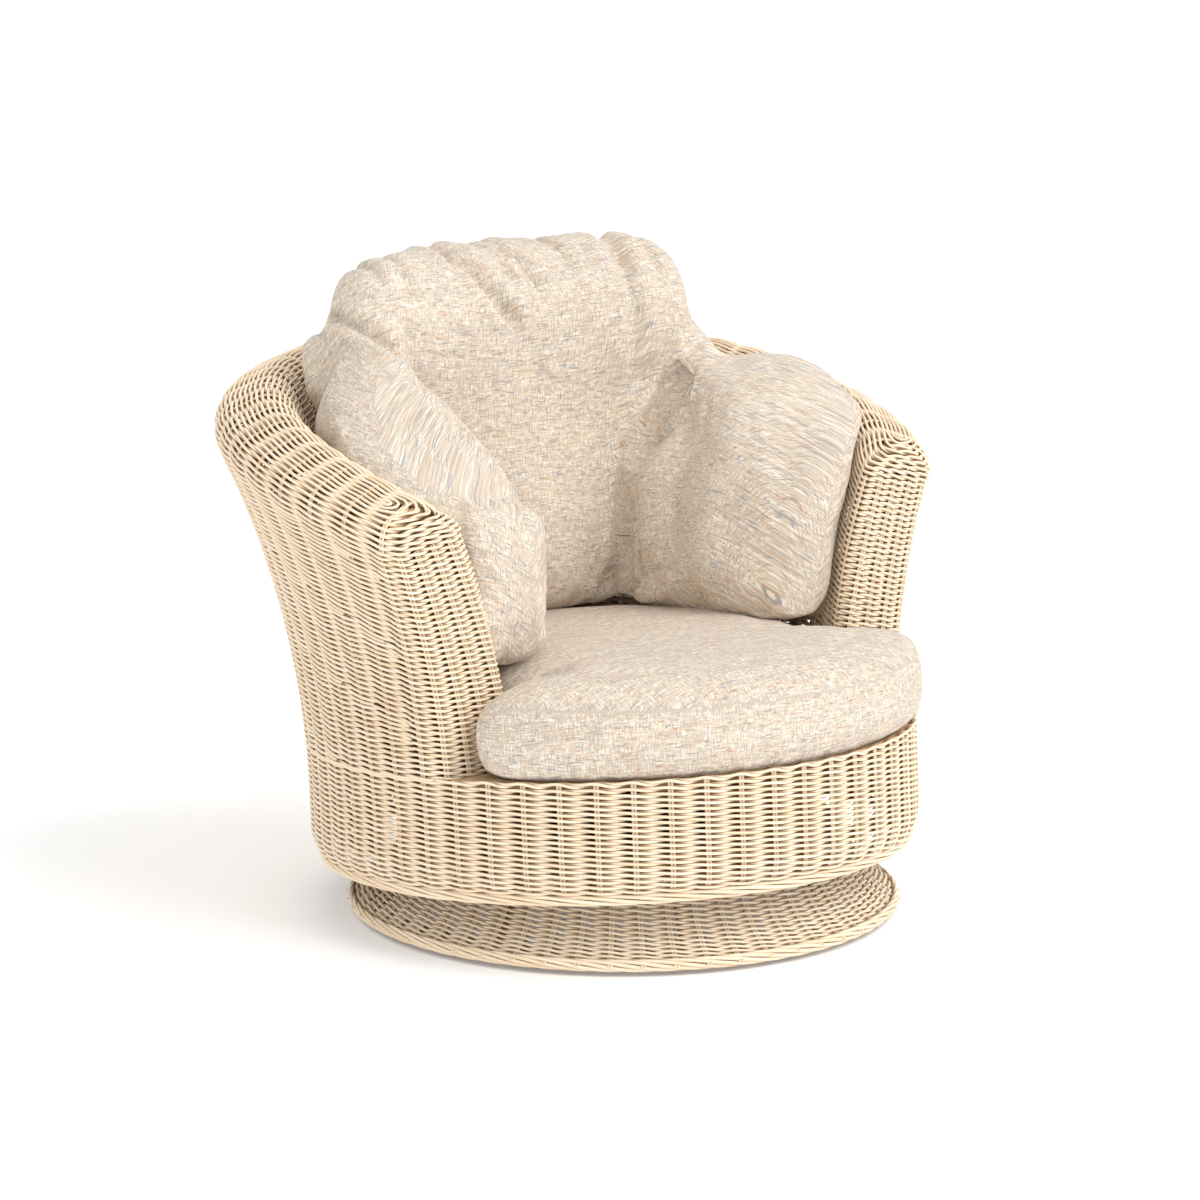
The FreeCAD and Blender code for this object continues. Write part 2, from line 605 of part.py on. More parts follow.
def make_base():
    hollow = (BASE_R - BORDER_D - BASE_TOP_R) * (SKIRT_WAIST_IN - SKIRT_WAIST_UP)
    post_in = hollow * BASE_POST_SHARE
    hoop_r = BASE_R - BORDER_D - SKIN - BASE_CANE_R - hollow * BASE_HOOP_SHARE
    hoop_z = GLIDE_H + BASE_CANE_R
    bottom = hoop(hoop_r, hoop_z, BASE_CANE_R)
    save("base_bottom_hoop", bottom)
    board_z = BASE_TOP_Z - BOARD_THICK
    top_r = BASE_TOP_R - SKIN - BASE_CANE_R - BASE_TOP_HOOP_IN
    top = hoop(top_r, board_z - BASE_CANE_R, BASE_CANE_R)
    save("base_top_hoop", top)
    posts = []
    for i in range(BASE_POSTS):
        a = 360.0 * (i + 0.5) / BASE_POSTS
        foot = polar(hoop_r - post_in, a, hoop_z)
        post = pole(foot, polar(top_r - post_in, a, board_z - BASE_CANE_R), BASE_CANE_R)
        posts.append(post.cut(bottom).cut(top))
    save("base_posts", Part.Compound([max(p.Solids, key=lambda s: s.Volume) for p in posts]))
    board = disc(BASE_TOP_R - SKIN - BOARD_PLAY, board_z, BASE_TOP_Z)
    for sx in (-1, 1):
        for sy in (-1, 1):
            hx = sx * PLATE_HOLE_PITCH / 2
            hy = sy * PLATE_HOLE_PITCH / 2
            board = board.cut(disc(SCREW_R, board_z - 1, BASE_TOP_Z + 1, hx, hy))
    board = board.cut(disc(BOLT_HEAD_R + BOARD_PLAY, board_z - 1, BASE_TOP_Z + 1))
    save("base_board", board)
    outside = skirt_profile(0.0)
    inside = skirt_profile(SKIN)
    edges = [Part.Arc(*outside).toShape(), Part.LineSegment(outside[2], inside[2]).toShape(),
             Part.Arc(*inside).toShape(), Part.LineSegment(inside[0], outside[0]).toShape()]
    face = Part.Face(Part.Wire(Part.__sortEdges__(edges)))
    skirt = face.revolve(V(0, 0, 0), V(0, 0, 1), 360)
    ellipse = Part.Ellipse(V(BASE_R - BORDER_D / 2, 0, GLIDE_H + BORDER_H / 2), BORDER_H / 2, BORDER_D / 2)
    ring_edge = ellipse.toShape()
    ring_edge.rotate(V(BASE_R - BORDER_D / 2, 0, GLIDE_H + BORDER_H / 2), V(1, 0, 0), 90)
    ring_edge.rotate(V(BASE_R - BORDER_D / 2, 0, GLIDE_H + BORDER_H / 2), V(0, 1, 0), 90)
    border = Part.Face(Part.Wire([ring_edge])).revolve(V(0, 0, 0), V(0, 0, 1), 360)
    save("base_border_braid", border)
    save("base_skirt_weave", skirt.cut(border))
    glides = []
    for i in range(GLIDES):
        spot = polar(hoop_r, 360.0 * i / GLIDES)
        glides.append(disc(GLIDE_R, 0.0, GLIDE_H, spot.x, spot.y))
    save("base_glides", group(glides))


# Swivel bearing and rocker
def plate_corners(x, y):
    return [(sx * x, sy * y) for sx in (-1, 1) for sy in (-1, 1)]


def make_swivel():
    plate = box(-PLATE / 2, PLATE / 2, -PLATE / 2, PLATE / 2, plate_z, race_z)
    plate = plate.cut(disc(BOLT_R, plate_z - 1, race_z + 1))
    corners = plate_corners(PLATE_HOLE_PITCH / 2, PLATE_HOLE_PITCH / 2)
    screws = []
    for x, y in corners:
        plate = plate.cut(disc(SCREW_R, plate_z - 1, race_z + 1, x, y))
        head = disc(SCREW_HEAD_R, race_z, race_z + SCREW_HEAD_H, x, y)
        shank = disc(SCREW_R - BALL_PLAY / 2, race_z - SCREW_LENGTH, race_z + 1, x, y)
        screws.append(head.fuse(shank))
    save("swivel_base_plate", plate)
    save("swivel_screws", group(screws))
    mid = race_z + RACE_H + RACE_GAP / 2
    groove = hoop(RACE_R, mid, BALL_R + BALL_PLAY)
    inner, outer = RACE_R - RACE_W / 2, RACE_R + RACE_W / 2
    save("lower_race", annulus(outer, inner, race_z, race_z + RACE_H).cut(groove))
    save("upper_race", annulus(outer, inner, upper_race_z, yoke_z).cut(groove))
    balls = []
    for i in range(BALLS):
        balls.append(Part.makeSphere(BALL_R, polar(RACE_R, 360.0 * i / BALLS, mid)))
    save("bearing_balls", group(balls))
    head_z = plate_z - BOLT_HEAD_H
    top_z = yoke_z + YOKE_THICK
    shank_r = BOLT_R - THREAD_PLAY
    bolt = disc(BOLT_HEAD_R, head_z, plate_z).fuse(disc(shank_r, head_z, top_z + BOLT_END))
    save("king_bolt", bolt.removeSplitter())
    nut = Part.makePolygon([polar(NUT_R, 60.0 * i, top_z + SEAT_CLEAR) for i in range(7)])
    save("king_nut", Part.Face(nut).extrude(V(0, 0, NUT_H)).cut(disc(shank_r, 0, 2 * top_z)))


def make_rocker():
    half_x = YOKE_X / 2
    pin_axis = V(1, 0, 0)
    yoke = box(-half_x, half_x, -YOKE_Y / 2, YOKE_Y / 2, yoke_z, yoke_z + YOKE_THICK)
    yoke = yoke.cut(disc(BOLT_R + BOLT_PLAY, yoke_z - 1, yoke_z + YOKE_THICK + 1))
    for side in (-1, 1):
        x0 = side * half_x - (YOKE_THICK if side > 0 else 0)
        ear = box(x0, x0 + YOKE_THICK, -EAR_R, EAR_R, yoke_z + YOKE_THICK, pivot_z)
        ear = ear.fuse(Part.makeCylinder(EAR_R, YOKE_THICK, V(x0, 0, pivot_z), pin_axis))
        hole = Part.makeCylinder(PIN_R, YOKE_THICK + 2, V(x0 - 1, 0, pivot_z), pin_axis)
        yoke = yoke.fuse(ear.cut(hole))
    save("rocker_yoke", yoke.removeSplitter())
    ear_x = half_x + EAR_GAP
    bush_len = YOKE_THICK + EAR_GAP * 2
    pins = []
    bushes = []
    frame_x = ear_x + YOKE_THICK + EAR_GAP
    frame = box(-frame_x, frame_x, -TOP_PLATE_Y / 2, TOP_PLATE_Y / 2, top_plate_z, rail_z)
    for side in (-1, 1):
        a = side * (half_x - YOKE_THICK - PIN_END)
        b = side * (ear_x + YOKE_THICK + EAR_GAP + PIN_END)
        low, high = min(a, b), max(a, b)
        pins.append(Part.makeCylinder(PIN_R, high - low, V(low, 0, pivot_z), pin_axis))
        bush_x = side * (half_x + SEAT_CLEAR) - (0 if side > 0 else bush_len - SEAT_CLEAR)
        bush = Part.makeCylinder(PIN_R + BUSH_WALL, bush_len - SEAT_CLEAR, V(bush_x, 0, pivot_z), pin_axis)
        bore_start = V(bush_x - bush_len, 0, pivot_z)
        bushes.append(bush.cut(Part.makeCylinder(PIN_R + PIN_PLAY, 4 * bush_len, bore_start, pin_axis)))
        x0 = side * ear_x - (YOKE_THICK if side < 0 else 0)
        ear = box(x0, x0 + YOKE_THICK, -EAR_R, EAR_R, pivot_z, top_plate_z)
        ear = ear.fuse(Part.makeCylinder(EAR_R, YOKE_THICK, V(x0, 0, pivot_z), pin_axis))
        hole = Part.makeCylinder(PIN_R + BUSH_WALL, YOKE_THICK + 2, V(x0 - 1, 0, pivot_z), pin_axis)
        frame = frame.fuse(ear.cut(hole))
    save("rocker_pins", group(pins))
    save("rocker_bushes", leaned(group(bushes)))
    holes = plate_corners(SEAT_RAIL_X, TOP_PLATE_Y / 2 - FRAME_SCREW_IN)
    for x, y in holes:
        frame = frame.cut(disc(FRAME_SCREW_R, top_plate_z - 1, rail_z + 1, x, y))
    save("rocker_frame", leaned(frame.removeSplitter()))
    screws = []
    for x, y in holes:
        screws.append(disc(SCREW_HEAD_R, top_plate_z - SCREW_HEAD_H, top_plate_z, x, y))
    save("rocker_screws", leaned(group(screws)))
    floor_z = yoke_z + YOKE_THICK
    buffers = []
    for y, limit in ((BUFFER_Y, REST_LEAN + ROCK_BACK), (-BUFFER_Y, ROCK_FORWARD - REST_LEAN)):
        a = math.radians(limit)
        reach = abs(y) + BUFFER_R
        stop = pivot_z + TOP_PLATE_RISE * math.cos(a) - reach * math.sin(a) - BUFFER_CLEAR
        for x in (-BUFFER_X, BUFFER_X):
            buffers.append(disc(BUFFER_R, floor_z, stop, x, y))
    save("rock_buffers", group(buffers))


make_base()
make_swivel()
make_rocker()
make_body_frame()
make_seat_deck()
make_wall_skins()
make_arm_front("arm_front_weave_left", 1)
make_arm_front("arm_front_weave_right", -1)
make_apron()
make_rim_braid()
make_seat_cushion()
make_back_cushion()
make_wing("back_wing_left", 1, WING_LEFT_TOP_Z)
make_wing("back_wing_right", -1, WING_RIGHT_TOP_Z)
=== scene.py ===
# %% [markdown]
# A cane swivel rocker, dressed in Blender
#
# The chair's construction comes packed from its CAD model: frame, bearing, rocker, and plain solids
# where cane is woven and cushions are stuffed. This lesson keeps the construction as it is. It
# weaves the cane strand by strand over it, fills the cushions by simulation, and mixes every
# finish from nodes. Everything is in metres, with Z up and the chair facing -Y.

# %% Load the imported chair
import json
import math
import bmesh
import bpy
import numpy as np
from mathutils import Matrix, Vector
from mathutils.bvhtree import BVHTree


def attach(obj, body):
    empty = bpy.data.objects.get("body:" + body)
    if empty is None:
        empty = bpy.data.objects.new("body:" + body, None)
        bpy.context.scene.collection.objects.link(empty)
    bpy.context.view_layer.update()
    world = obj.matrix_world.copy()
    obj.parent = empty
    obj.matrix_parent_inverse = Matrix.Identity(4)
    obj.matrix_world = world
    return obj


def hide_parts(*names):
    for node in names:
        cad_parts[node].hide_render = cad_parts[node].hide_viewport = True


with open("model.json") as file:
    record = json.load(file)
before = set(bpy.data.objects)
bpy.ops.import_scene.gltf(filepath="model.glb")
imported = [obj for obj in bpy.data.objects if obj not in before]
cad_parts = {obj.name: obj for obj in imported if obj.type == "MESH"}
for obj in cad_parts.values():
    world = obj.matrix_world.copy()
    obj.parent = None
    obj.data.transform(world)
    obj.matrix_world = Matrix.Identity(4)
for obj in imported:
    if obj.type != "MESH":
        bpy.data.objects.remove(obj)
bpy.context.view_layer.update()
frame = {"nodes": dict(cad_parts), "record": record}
nodes = frame["nodes"]
scene = bpy.context.scene


def placed(name, data):
    """A new object in the scene, made of this data."""
    thing = bpy.data.objects.new(name, data)
    scene.collection.objects.link(thing)
    return thing


def triangles(mesh):
    return sum(len(face.vertices) - 2 for face in mesh.polygons)


# %% [markdown]
# The camera comes first, because every later choice is judged through it. The photograph was
# taken with a long lens from a few paces away, a little to the chair's right and just above the
# arms. A long lens keeps the base's ellipses flat, so the angle matters more than the distance.

# %% The camera
CAMERA_AZIMUTH = math.radians(-37.0)
CAMERA_RISE = math.radians(11.7)
CAMERA_DISTANCE = 6.171
CAMERA_SIDE = -0.0309        # the aim passes this far beside the swivel axis
CAMERA_AIM_Z = 0.4022
PHOTO_SIDE = 1200.0          # pixels along the photograph's square frame
FOCAL_PIXELS = 4783.0
SENSOR = 36.0

camera_right = Vector((math.cos(CAMERA_AZIMUTH), math.sin(CAMERA_AZIMUTH), 0.0))
camera_back = Vector((math.sin(CAMERA_AZIMUTH) * math.cos(CAMERA_RISE),
                      -math.cos(CAMERA_AZIMUTH) * math.cos(CAMERA_RISE),
                      math.sin(CAMERA_RISE)))
aim = camera_right * CAMERA_SIDE + Vector((0.0, 0.0, CAMERA_AIM_Z))

camera_data = bpy.data.cameras.new("camera")
camera_data.sensor_width = SENSOR
camera_data.lens = FOCAL_PIXELS / PHOTO_SIDE * SENSOR
camera_data.clip_end = 100.0
camera = placed("camera", camera_data)
camera.location = aim + camera_back * CAMERA_DISTANCE
camera.rotation_euler = (-camera_back).to_track_quat("-Z", "Y").to_euler()
scene.camera = camera
print("lens", round(camera_data.lens, 1), "mm")

# %% [markdown]
# Nodes are easiest to read as arithmetic. One small class wraps a node's output, so that a sum
# of two links adds a Math node, and one method makes every other kind of node. The same pair
# serves materials and Geometry Nodes, since both use the same Math nodes.

# %% Nodes written as expressions


class Link:
    """A node's output socket that can stand in a Python expression."""

    def __init__(self, graph, socket):
        self.graph = graph
        self.socket = socket

    def math(self, operation, *others):
        return self.graph.add("ShaderNodeMath", {"operation": operation}, self, *others)

    def __add__(self, other):
        return self.math("ADD", other)

    def __sub__(self, other):
        return self.math("SUBTRACT", other)

    def __rsub__(self, other):
        return self.graph.add("ShaderNodeMath", {"operation": "SUBTRACT"}, other, self)

    def __mul__(self, other):
        return self.math("MULTIPLY", other)

    def __truediv__(self, other):
        return self.math("DIVIDE", other)

    __radd__ = __add__
    __rmul__ = __mul__

    def other(self, out):
        """Another output of the same node."""
        return Link(self.graph, self.socket.node.outputs[out])

    def ramp(self, low, high, to_low=0.0, to_high=1.0):
        """Runs smoothly from to_low to to_high as the value goes from low to high."""
        return self.graph.add("ShaderNodeMapRange", {"interpolation_type": "SMOOTHSTEP"},
                              self, low, high, to_low, to_high)


class Graph:
    """Adds nodes to one tree."""

    def __init__(self, tree):
        self.tree = tree

    def add(self, kind, settings, *values, out=0, **named):
        """One node: its settings first, then its sockets by order or by name."""
        node = self.tree.nodes.new(kind)
        for key, value in settings.items():
            setattr(node, key, value)
        for key, value in list(enumerate(values)) + [(k.replace("_", " "), v) for k, v in named.items()]:
            if isinstance(value, Link):
                self.tree.links.new(value.socket, node.inputs[key])
            elif value is not None:
                node.inputs[key].default_value = value
        return Link(self, node.outputs[out])

    def mix(self, factor, a, b, blend="MIX"):
        """A blend of two colours."""
        node = self.tree.nodes.new("ShaderNodeMix")
        node.data_type = "RGBA"
        node.blend_type = blend
        for index, value in ((0, factor), (6, a), (7, b)):
            if isinstance(value, Link):
                self.tree.links.new(value.socket, node.inputs[index])
            else:
                node.inputs[index].default_value = value if index == 0 else (*value, 1.0)
        return Link(self, node.outputs[2])

    def vector(self, operation, *values, out=0, **named):
        return self.add("ShaderNodeVectorMath", {"operation": operation}, *values, out=out, **named)

    def attribute(self, name, out=2):
        return self.add("ShaderNodeAttribute", {"attribute_name": name}, out=out)

    def combine(self, x=0.0, y=0.0, z=0.0):
        return self.add("ShaderNodeCombineXYZ", {}, x, y, z)

    def noise(self, where, scale, detail=2.0, roughness=0.5):
        return self.add("ShaderNodeTexNoise", {}, Vector=where, Scale=scale, Detail=detail,
                        Roughness=roughness)


def finish_material(name, build, **fixed):
    """A material whose Principled sockets are either plain values or links from build."""
    material = bpy.data.materials.new(name)
    material.use_nodes = True
    graph = Graph(material.node_tree)
    shader = material.node_tree.nodes["Principled BSDF"]
    for key, value in fixed.items():
        shader.inputs[key.replace("_", " ")].default_value = value
    for key, value in build(graph).items():
        material.node_tree.links.new(value.socket, shader.inputs[key.replace("_", " ")])
    return material


# %% [markdown]
# Peeled cane is pale where it is worn smooth, and it is painted darker and browner deep in the
# weave: painted shade of the slits and of the strands' backs. Each strand also differs a little
# from the next. The strand meshes carry three numbers for this: which strand a point is on, how
# far along it, and how deep in the weave it lies.

# %% Cane finish
CANE_PALE = (0.93, 0.80, 0.62)
CANE_HONEY = (0.84, 0.66, 0.455)
# The deep brown of the painted shade deep in the weave.
CANE_PAINTED_SHADE = (0.30, 0.16, 0.075)
CANE_NODE = (0.62, 0.42, 0.23)


def cane_nodes(graph):
    strand, along, depth = [graph.attribute(name) for name in ("strand", "along", "depth")]
    spot = graph.add("ShaderNodeTexCoord", {}, out=3)
    each = graph.add("ShaderNodeTexWhiteNoise", {"noise_dimensions": "1D"}, W=strand * 7.31)
    drift = graph.noise(graph.combine(along * 0.9, strand * 5.3), 1.0, 3.0, 0.6)
    fibre = graph.noise(graph.combine(along * 26.0, strand * 9.1), 1.0, 2.0, 0.6)
    grain = graph.noise(spot, 900.0, 2.0)
    tone = (each * 0.45 + drift * 0.75 + (fibre - 0.5) * 0.4).ramp(0.25, 0.95)
    pale = graph.mix(tone, CANE_PALE, CANE_HONEY)
    joint = graph.noise(graph.combine(along * 1.7, strand * 3.7), 1.0).ramp(0.71, 0.76)
    spotted = graph.mix(joint * 0.5, pale, CANE_NODE)
    # Painted shade: the deeper a point lies in the weave, the darker and browner its colour.
    shade = depth.ramp(-0.55, 0.42)
    colour = graph.mix(shade, CANE_PAINTED_SHADE, spotted)
    height = fibre * 0.5 + grain * 0.5
    bump = graph.add("ShaderNodeBump", {}, Strength=0.25, Distance=0.0004, Height=height)
    return {"Base_Color": colour, "Roughness": drift.ramp(0.3, 0.7, 0.42, 0.6), "Normal": bump}


cane_material = finish_material("peeled_cane", cane_nodes, Specular_IOR_Level=0.45)

# %% [markdown]
# The tub's shape is a rule, so the weave can follow it exactly. Seen from above the body is a
# circle that is open at the front. Its wall rises straight, then flares on an arc whose reach
# changes round the chair, and a rolled top closes the hollow wall. The same few sizes that
# drive the CAD solids are written here once, in metres.

# %% The tub's surface as a formula
BODY_R = 0.396
BODY_SETBACK = 0.020
PIVOT_Z = 0.150
REST_LEAN = math.radians(-3.4)
RIM_Z = 0.088
RIM_TUCK = 0.013
RIM_TUCK_H = 0.034
DECK_Z = 0.233
WALL_THICK = 0.108
FLARE_Z = 0.165
FLARE_BACK = 0.082
FLARE_SIDE = 0.097
FLARE_ARM = 0.056
FLARE_SIDE_AT = 52.0         # degrees from the back
WALL_BACK_Z = 0.672
WALL_ARM_Z = 0.505
ROLL_H = 0.038
ARM_ANGLE = 111.5            # degrees from the back
WEAVE_DEPTH = 0.0032         # the weave's middle lies this far inside the surface
arm_front_y = BODY_R * math.cos(math.radians(ARM_ANGLE))


def flare(angle):
    off = np.minimum(np.abs(angle), ARM_ANGLE) - FLARE_SIDE_AT
    behind = FLARE_SIDE - (FLARE_SIDE - FLARE_BACK) * (off / FLARE_SIDE_AT) ** 2
    ahead = FLARE_SIDE - (FLARE_SIDE - FLARE_ARM) * (off / (ARM_ANGLE - FLARE_SIDE_AT)) ** 2
    return np.where(off < 0, behind, ahead)


def wall_top(angle):
    return WALL_BACK_Z - (WALL_BACK_Z - WALL_ARM_Z) * np.minimum(np.abs(angle) / ARM_ANGLE, 1.0) ** 2


def flare_arc(angle):
    height = wall_top(angle) - FLARE_Z
    bend = (height ** 2 + flare(angle) ** 2) / (2 * flare(angle))
    return bend, np.arcsin(height / bend)


def flare_point(angle, share, depth):
    """Radius and height on the flared wall."""
    bend, turn = flare_arc(angle)
    a = turn * share
    return BODY_R + bend - (bend + depth) * np.cos(a), FLARE_Z + (bend + depth) * np.sin(a)


ROLL_BEND = ROLL_H - WEAVE_DEPTH
ROLL_QUARTER = ROLL_BEND * math.pi / 2
ROLL_FLAT = WALL_THICK - 2 * ROLL_H
ROLL_RUN = 2 * ROLL_QUARTER + ROLL_FLAT


def roll_point(angle, run):
    """Radius and height on the rolled top, a distance over it from the outside."""
    turn = flare_arc(angle)[1]
    r0, z0 = flare_point(angle, 1.0, 0.0)
    first = np.clip(run / ROLL_BEND, 0.0, math.pi / 2)
    last = np.clip((run - ROLL_QUARTER - ROLL_FLAT) / ROLL_BEND, 0.0, math.pi / 2)
    flat = np.clip(run - ROLL_QUARTER, 0.0, ROLL_FLAT)
    inset = ROLL_H - ROLL_BEND * np.cos(first) + flat + ROLL_BEND * np.sin(last)
    lift = ROLL_BEND * (np.sin(first) - 1.0 + np.cos(last))
    return (r0 - np.cos(turn) * inset + np.sin(turn) * lift,
            z0 + np.sin(turn) * inset + np.cos(turn) * lift)


def polar(r, angle, z):
    a = np.radians(angle)
    return np.stack(np.broadcast_arrays(r * np.sin(a), r * np.cos(a), z), axis=-1)


def seated(points):
    """Sets the body back and leans it, as the empty chair rests."""
    x, y, z = points[..., 0], points[..., 1] + BODY_SETBACK, points[..., 2] - PIVOT_Z
    c, s = math.cos(REST_LEAN), math.sin(REST_LEAN)
    return np.stack((x, y * c - z * s, PIVOT_Z + y * s + z * c), axis=-1)


print("the wall stands", WALL_BACK_Z, "m at the back and", WALL_ARM_Z, "m at the arms")

# %% [markdown]
# The weave above the deck goes round in loops: along the outside, round the front of one arm,
# back along the inside, and round the other arm. Each loop is built from its two walls and the
# flat arm fronts, with the corners eased. A whole stack of loops makes a grid over the tub, and
# any row of weaving is then read off the grid, however it climbs.

# %% A grid of loops over the tub
STAKES = 54                  # double stakes in a full turn of the body
STEP = 360.0 / STAKES        # degrees from stake to stake
LOOP_STAKES = 76             # stakes in a loop round both arms
SAMPLES = 8                  # points from stake to stake
FRONT_OUT = 0.0015           # weave of the arm fronts stands ahead of the arm's plane
OUTER_BEND = 0.026           # distance from the corner at which its easing starts
INNER_BEND = 0.013
LEVELS = 40
OUTSIDE_POINTS = 240         # points read along the outside, the inside and the arm front of a loop
INSIDE_POINTS = 220
FRONT_POINTS = 80
EASE_POINTS = 26             # points along an eased corner, ends included
ANGLE_ROUNDS = 8             # rounds in which the angle of the arm front is found


def deck_share(angle):
    bend, turn = flare_arc(angle)
    return np.arcsin((DECK_Z - FLARE_Z) / (bend + WALL_THICK / 2)) / turn


def wall_point(angle, level, inner):
    """On the walls: level 0 is the deck, 1 the start of the roll."""
    low = deck_share(angle)
    share = low + level * (1.0 - low)
    r, z = flare_point(angle, share, WALL_THICK - WEAVE_DEPTH if inner else WEAVE_DEPTH)
    return polar(r, angle, z)


def over_point(angle, run, inner):
    """On the roll: a distance up over it from the outer or the inner wall."""
    r, z = roll_point(angle, ROLL_RUN - run if inner else run)
    return polar(r, angle, z)


def front_angle(curve, inner, back_by):
    """Angle at which a row's curve reaches the arm front, or a plane some way behind it."""
    angle = ARM_ANGLE
    for _ in range(ANGLE_ROUNDS):
        r = np.linalg.norm(curve(angle, inner)[:2])
        angle = 90.0 + math.degrees(math.asin(-(arm_front_y + WEAVE_DEPTH - FRONT_OUT + back_by) / r))
    return angle


def lengths(points):
    return np.concatenate(([0.0], np.cumsum(np.linalg.norm(np.diff(points, axis=0), axis=1))))


def eased(before, after, reach):
    """Indices where two runs are cut, and a curve that joins them without their corner."""
    cut = np.searchsorted(lengths(before), lengths(before)[-1] - reach)
    start = np.searchsorted(lengths(after), reach)
    p, q = before[cut - 1], after[start]
    out = before[cut - 1] - before[cut - 2]
    into = after[start + 1] - after[start]
    out = out / np.linalg.norm(out)
    into = into / np.linalg.norm(into)
    turn = math.acos(float(np.clip(out @ into, -1, 1)))
    handle = 4 / 3 * math.tan(turn / 4) * reach / math.tan(turn / 2)
    t = np.linspace(0, 1, EASE_POINTS)[1:-1, None]
    curve = (p * (1 - t) ** 3 + 3 * (p + out * handle) * t * (1 - t) ** 2
             + 3 * (q - into * handle) * t ** 2 * (1 - t) + q * t ** 3)
    return cut, start, curve


def half_loop(curve, back_by=0.0, bends=(OUTER_BEND, INNER_BEND), half_stakes=LOOP_STAKES // 2):
    """Points of one loop from the back's outside round an arm to the back's inside, by stake."""
    outer_angles = np.linspace(0.0, front_angle(curve, False, back_by), OUTSIDE_POINTS)
    inner_angles = np.linspace(front_angle(curve, True, back_by), 0.0, INSIDE_POINTS)
    outer = curve(outer_angles, False)
    inner = curve(inner_angles, True)
    front = outer[-1] + (inner[0] - outer[-1]) * np.linspace(0, 1, FRONT_POINTS)[:, None]
    cut_outer, front_low, corner_outer = eased(outer, front, bends[0])
    front_high, start_inner, corner_inner = eased(front, inner, bends[1])
    middle = np.concatenate((corner_outer, front[front_low:front_high], corner_inner))
    outer_stake = outer_angles[:cut_outer] / STEP
    inner_stake = half_stakes - inner_angles[start_inner:] / STEP
    points = np.concatenate((outer[:cut_outer], middle, inner[start_inner:]))
    run = lengths(points)
    first, last = cut_outer - 1, cut_outer + len(middle)
    share = (run[first:last + 1] - run[first]) / (run[last] - run[first])
    between = outer_stake[-1] + (inner_stake[0] - outer_stake[-1]) * share
    stakes = np.concatenate((outer_stake, between[1:-1], inner_stake))
    wanted = np.arange(0, half_stakes * SAMPLES + 1) / SAMPLES
    return np.stack([np.interp(wanted, stakes, points[:, i]) for i in range(3)], axis=1)


def whole_loop(right):
    left = right[::-1] * np.array((-1.0, 1.0, 1.0))
    return np.concatenate((right, left[1:]))


tub_grid = np.stack([whole_loop(half_loop(lambda angle, inner: wall_point(angle, level, inner)))
                     for level in np.linspace(0.0, 1.0, LEVELS)])
loop_stakes = np.arange(tub_grid.shape[1]) / SAMPLES


def loop_angle(stakes):
    """Angle from the back, of the wall that a place on the loop is on."""
    half = LOOP_STAKES / 2
    fold = np.where(stakes > half, LOOP_STAKES - stakes, stakes)
    return np.where(fold < half / 2, fold * STEP, (half - fold) * STEP)


def on_grid(levels, columns):
    """Points of the grid at levels between its own, one for each column, and the way up there."""
    place = np.clip(levels * (LEVELS - 1), 0, LEVELS - 1.001)
    low = place.astype(int)
    part = (place - low)[:, None]
    below, above = tub_grid[low, columns], tub_grid[low + 1, columns]
    return below + (above - below) * part, above - below


print("grid of", tub_grid.shape[0], "loops and", tub_grid.shape[1], "places on each")

# %% [markdown]
# A row of twining is two strands that pass in front of and behind each double stake and swap
# over between stakes. Only the row's middle line is written in Python. A Geometry Nodes tree
# turns it into strands: it copies the line, swings each copy out and in and up and down by the
# stake count, and sweeps a circle along it. The same tree plaits the borders with more strands
# and a longer lay.

# %% The strand tree
# Each input of the tree: its name, kind and usual value.
STRAND_INPUTS = (("Geometry", "Geometry", None), ("Strands", "Int", 2), ("Strand Radius", "Float", 0.0019),
                 ("Swing", "Float", 0.003), ("Lift", "Float", 0.0017), ("Sides", "Int", 6),
                 ("Unevenness", "Float", 0.0004), ("Brighten", "Float", 0.0), ("Cane", "Material", None))


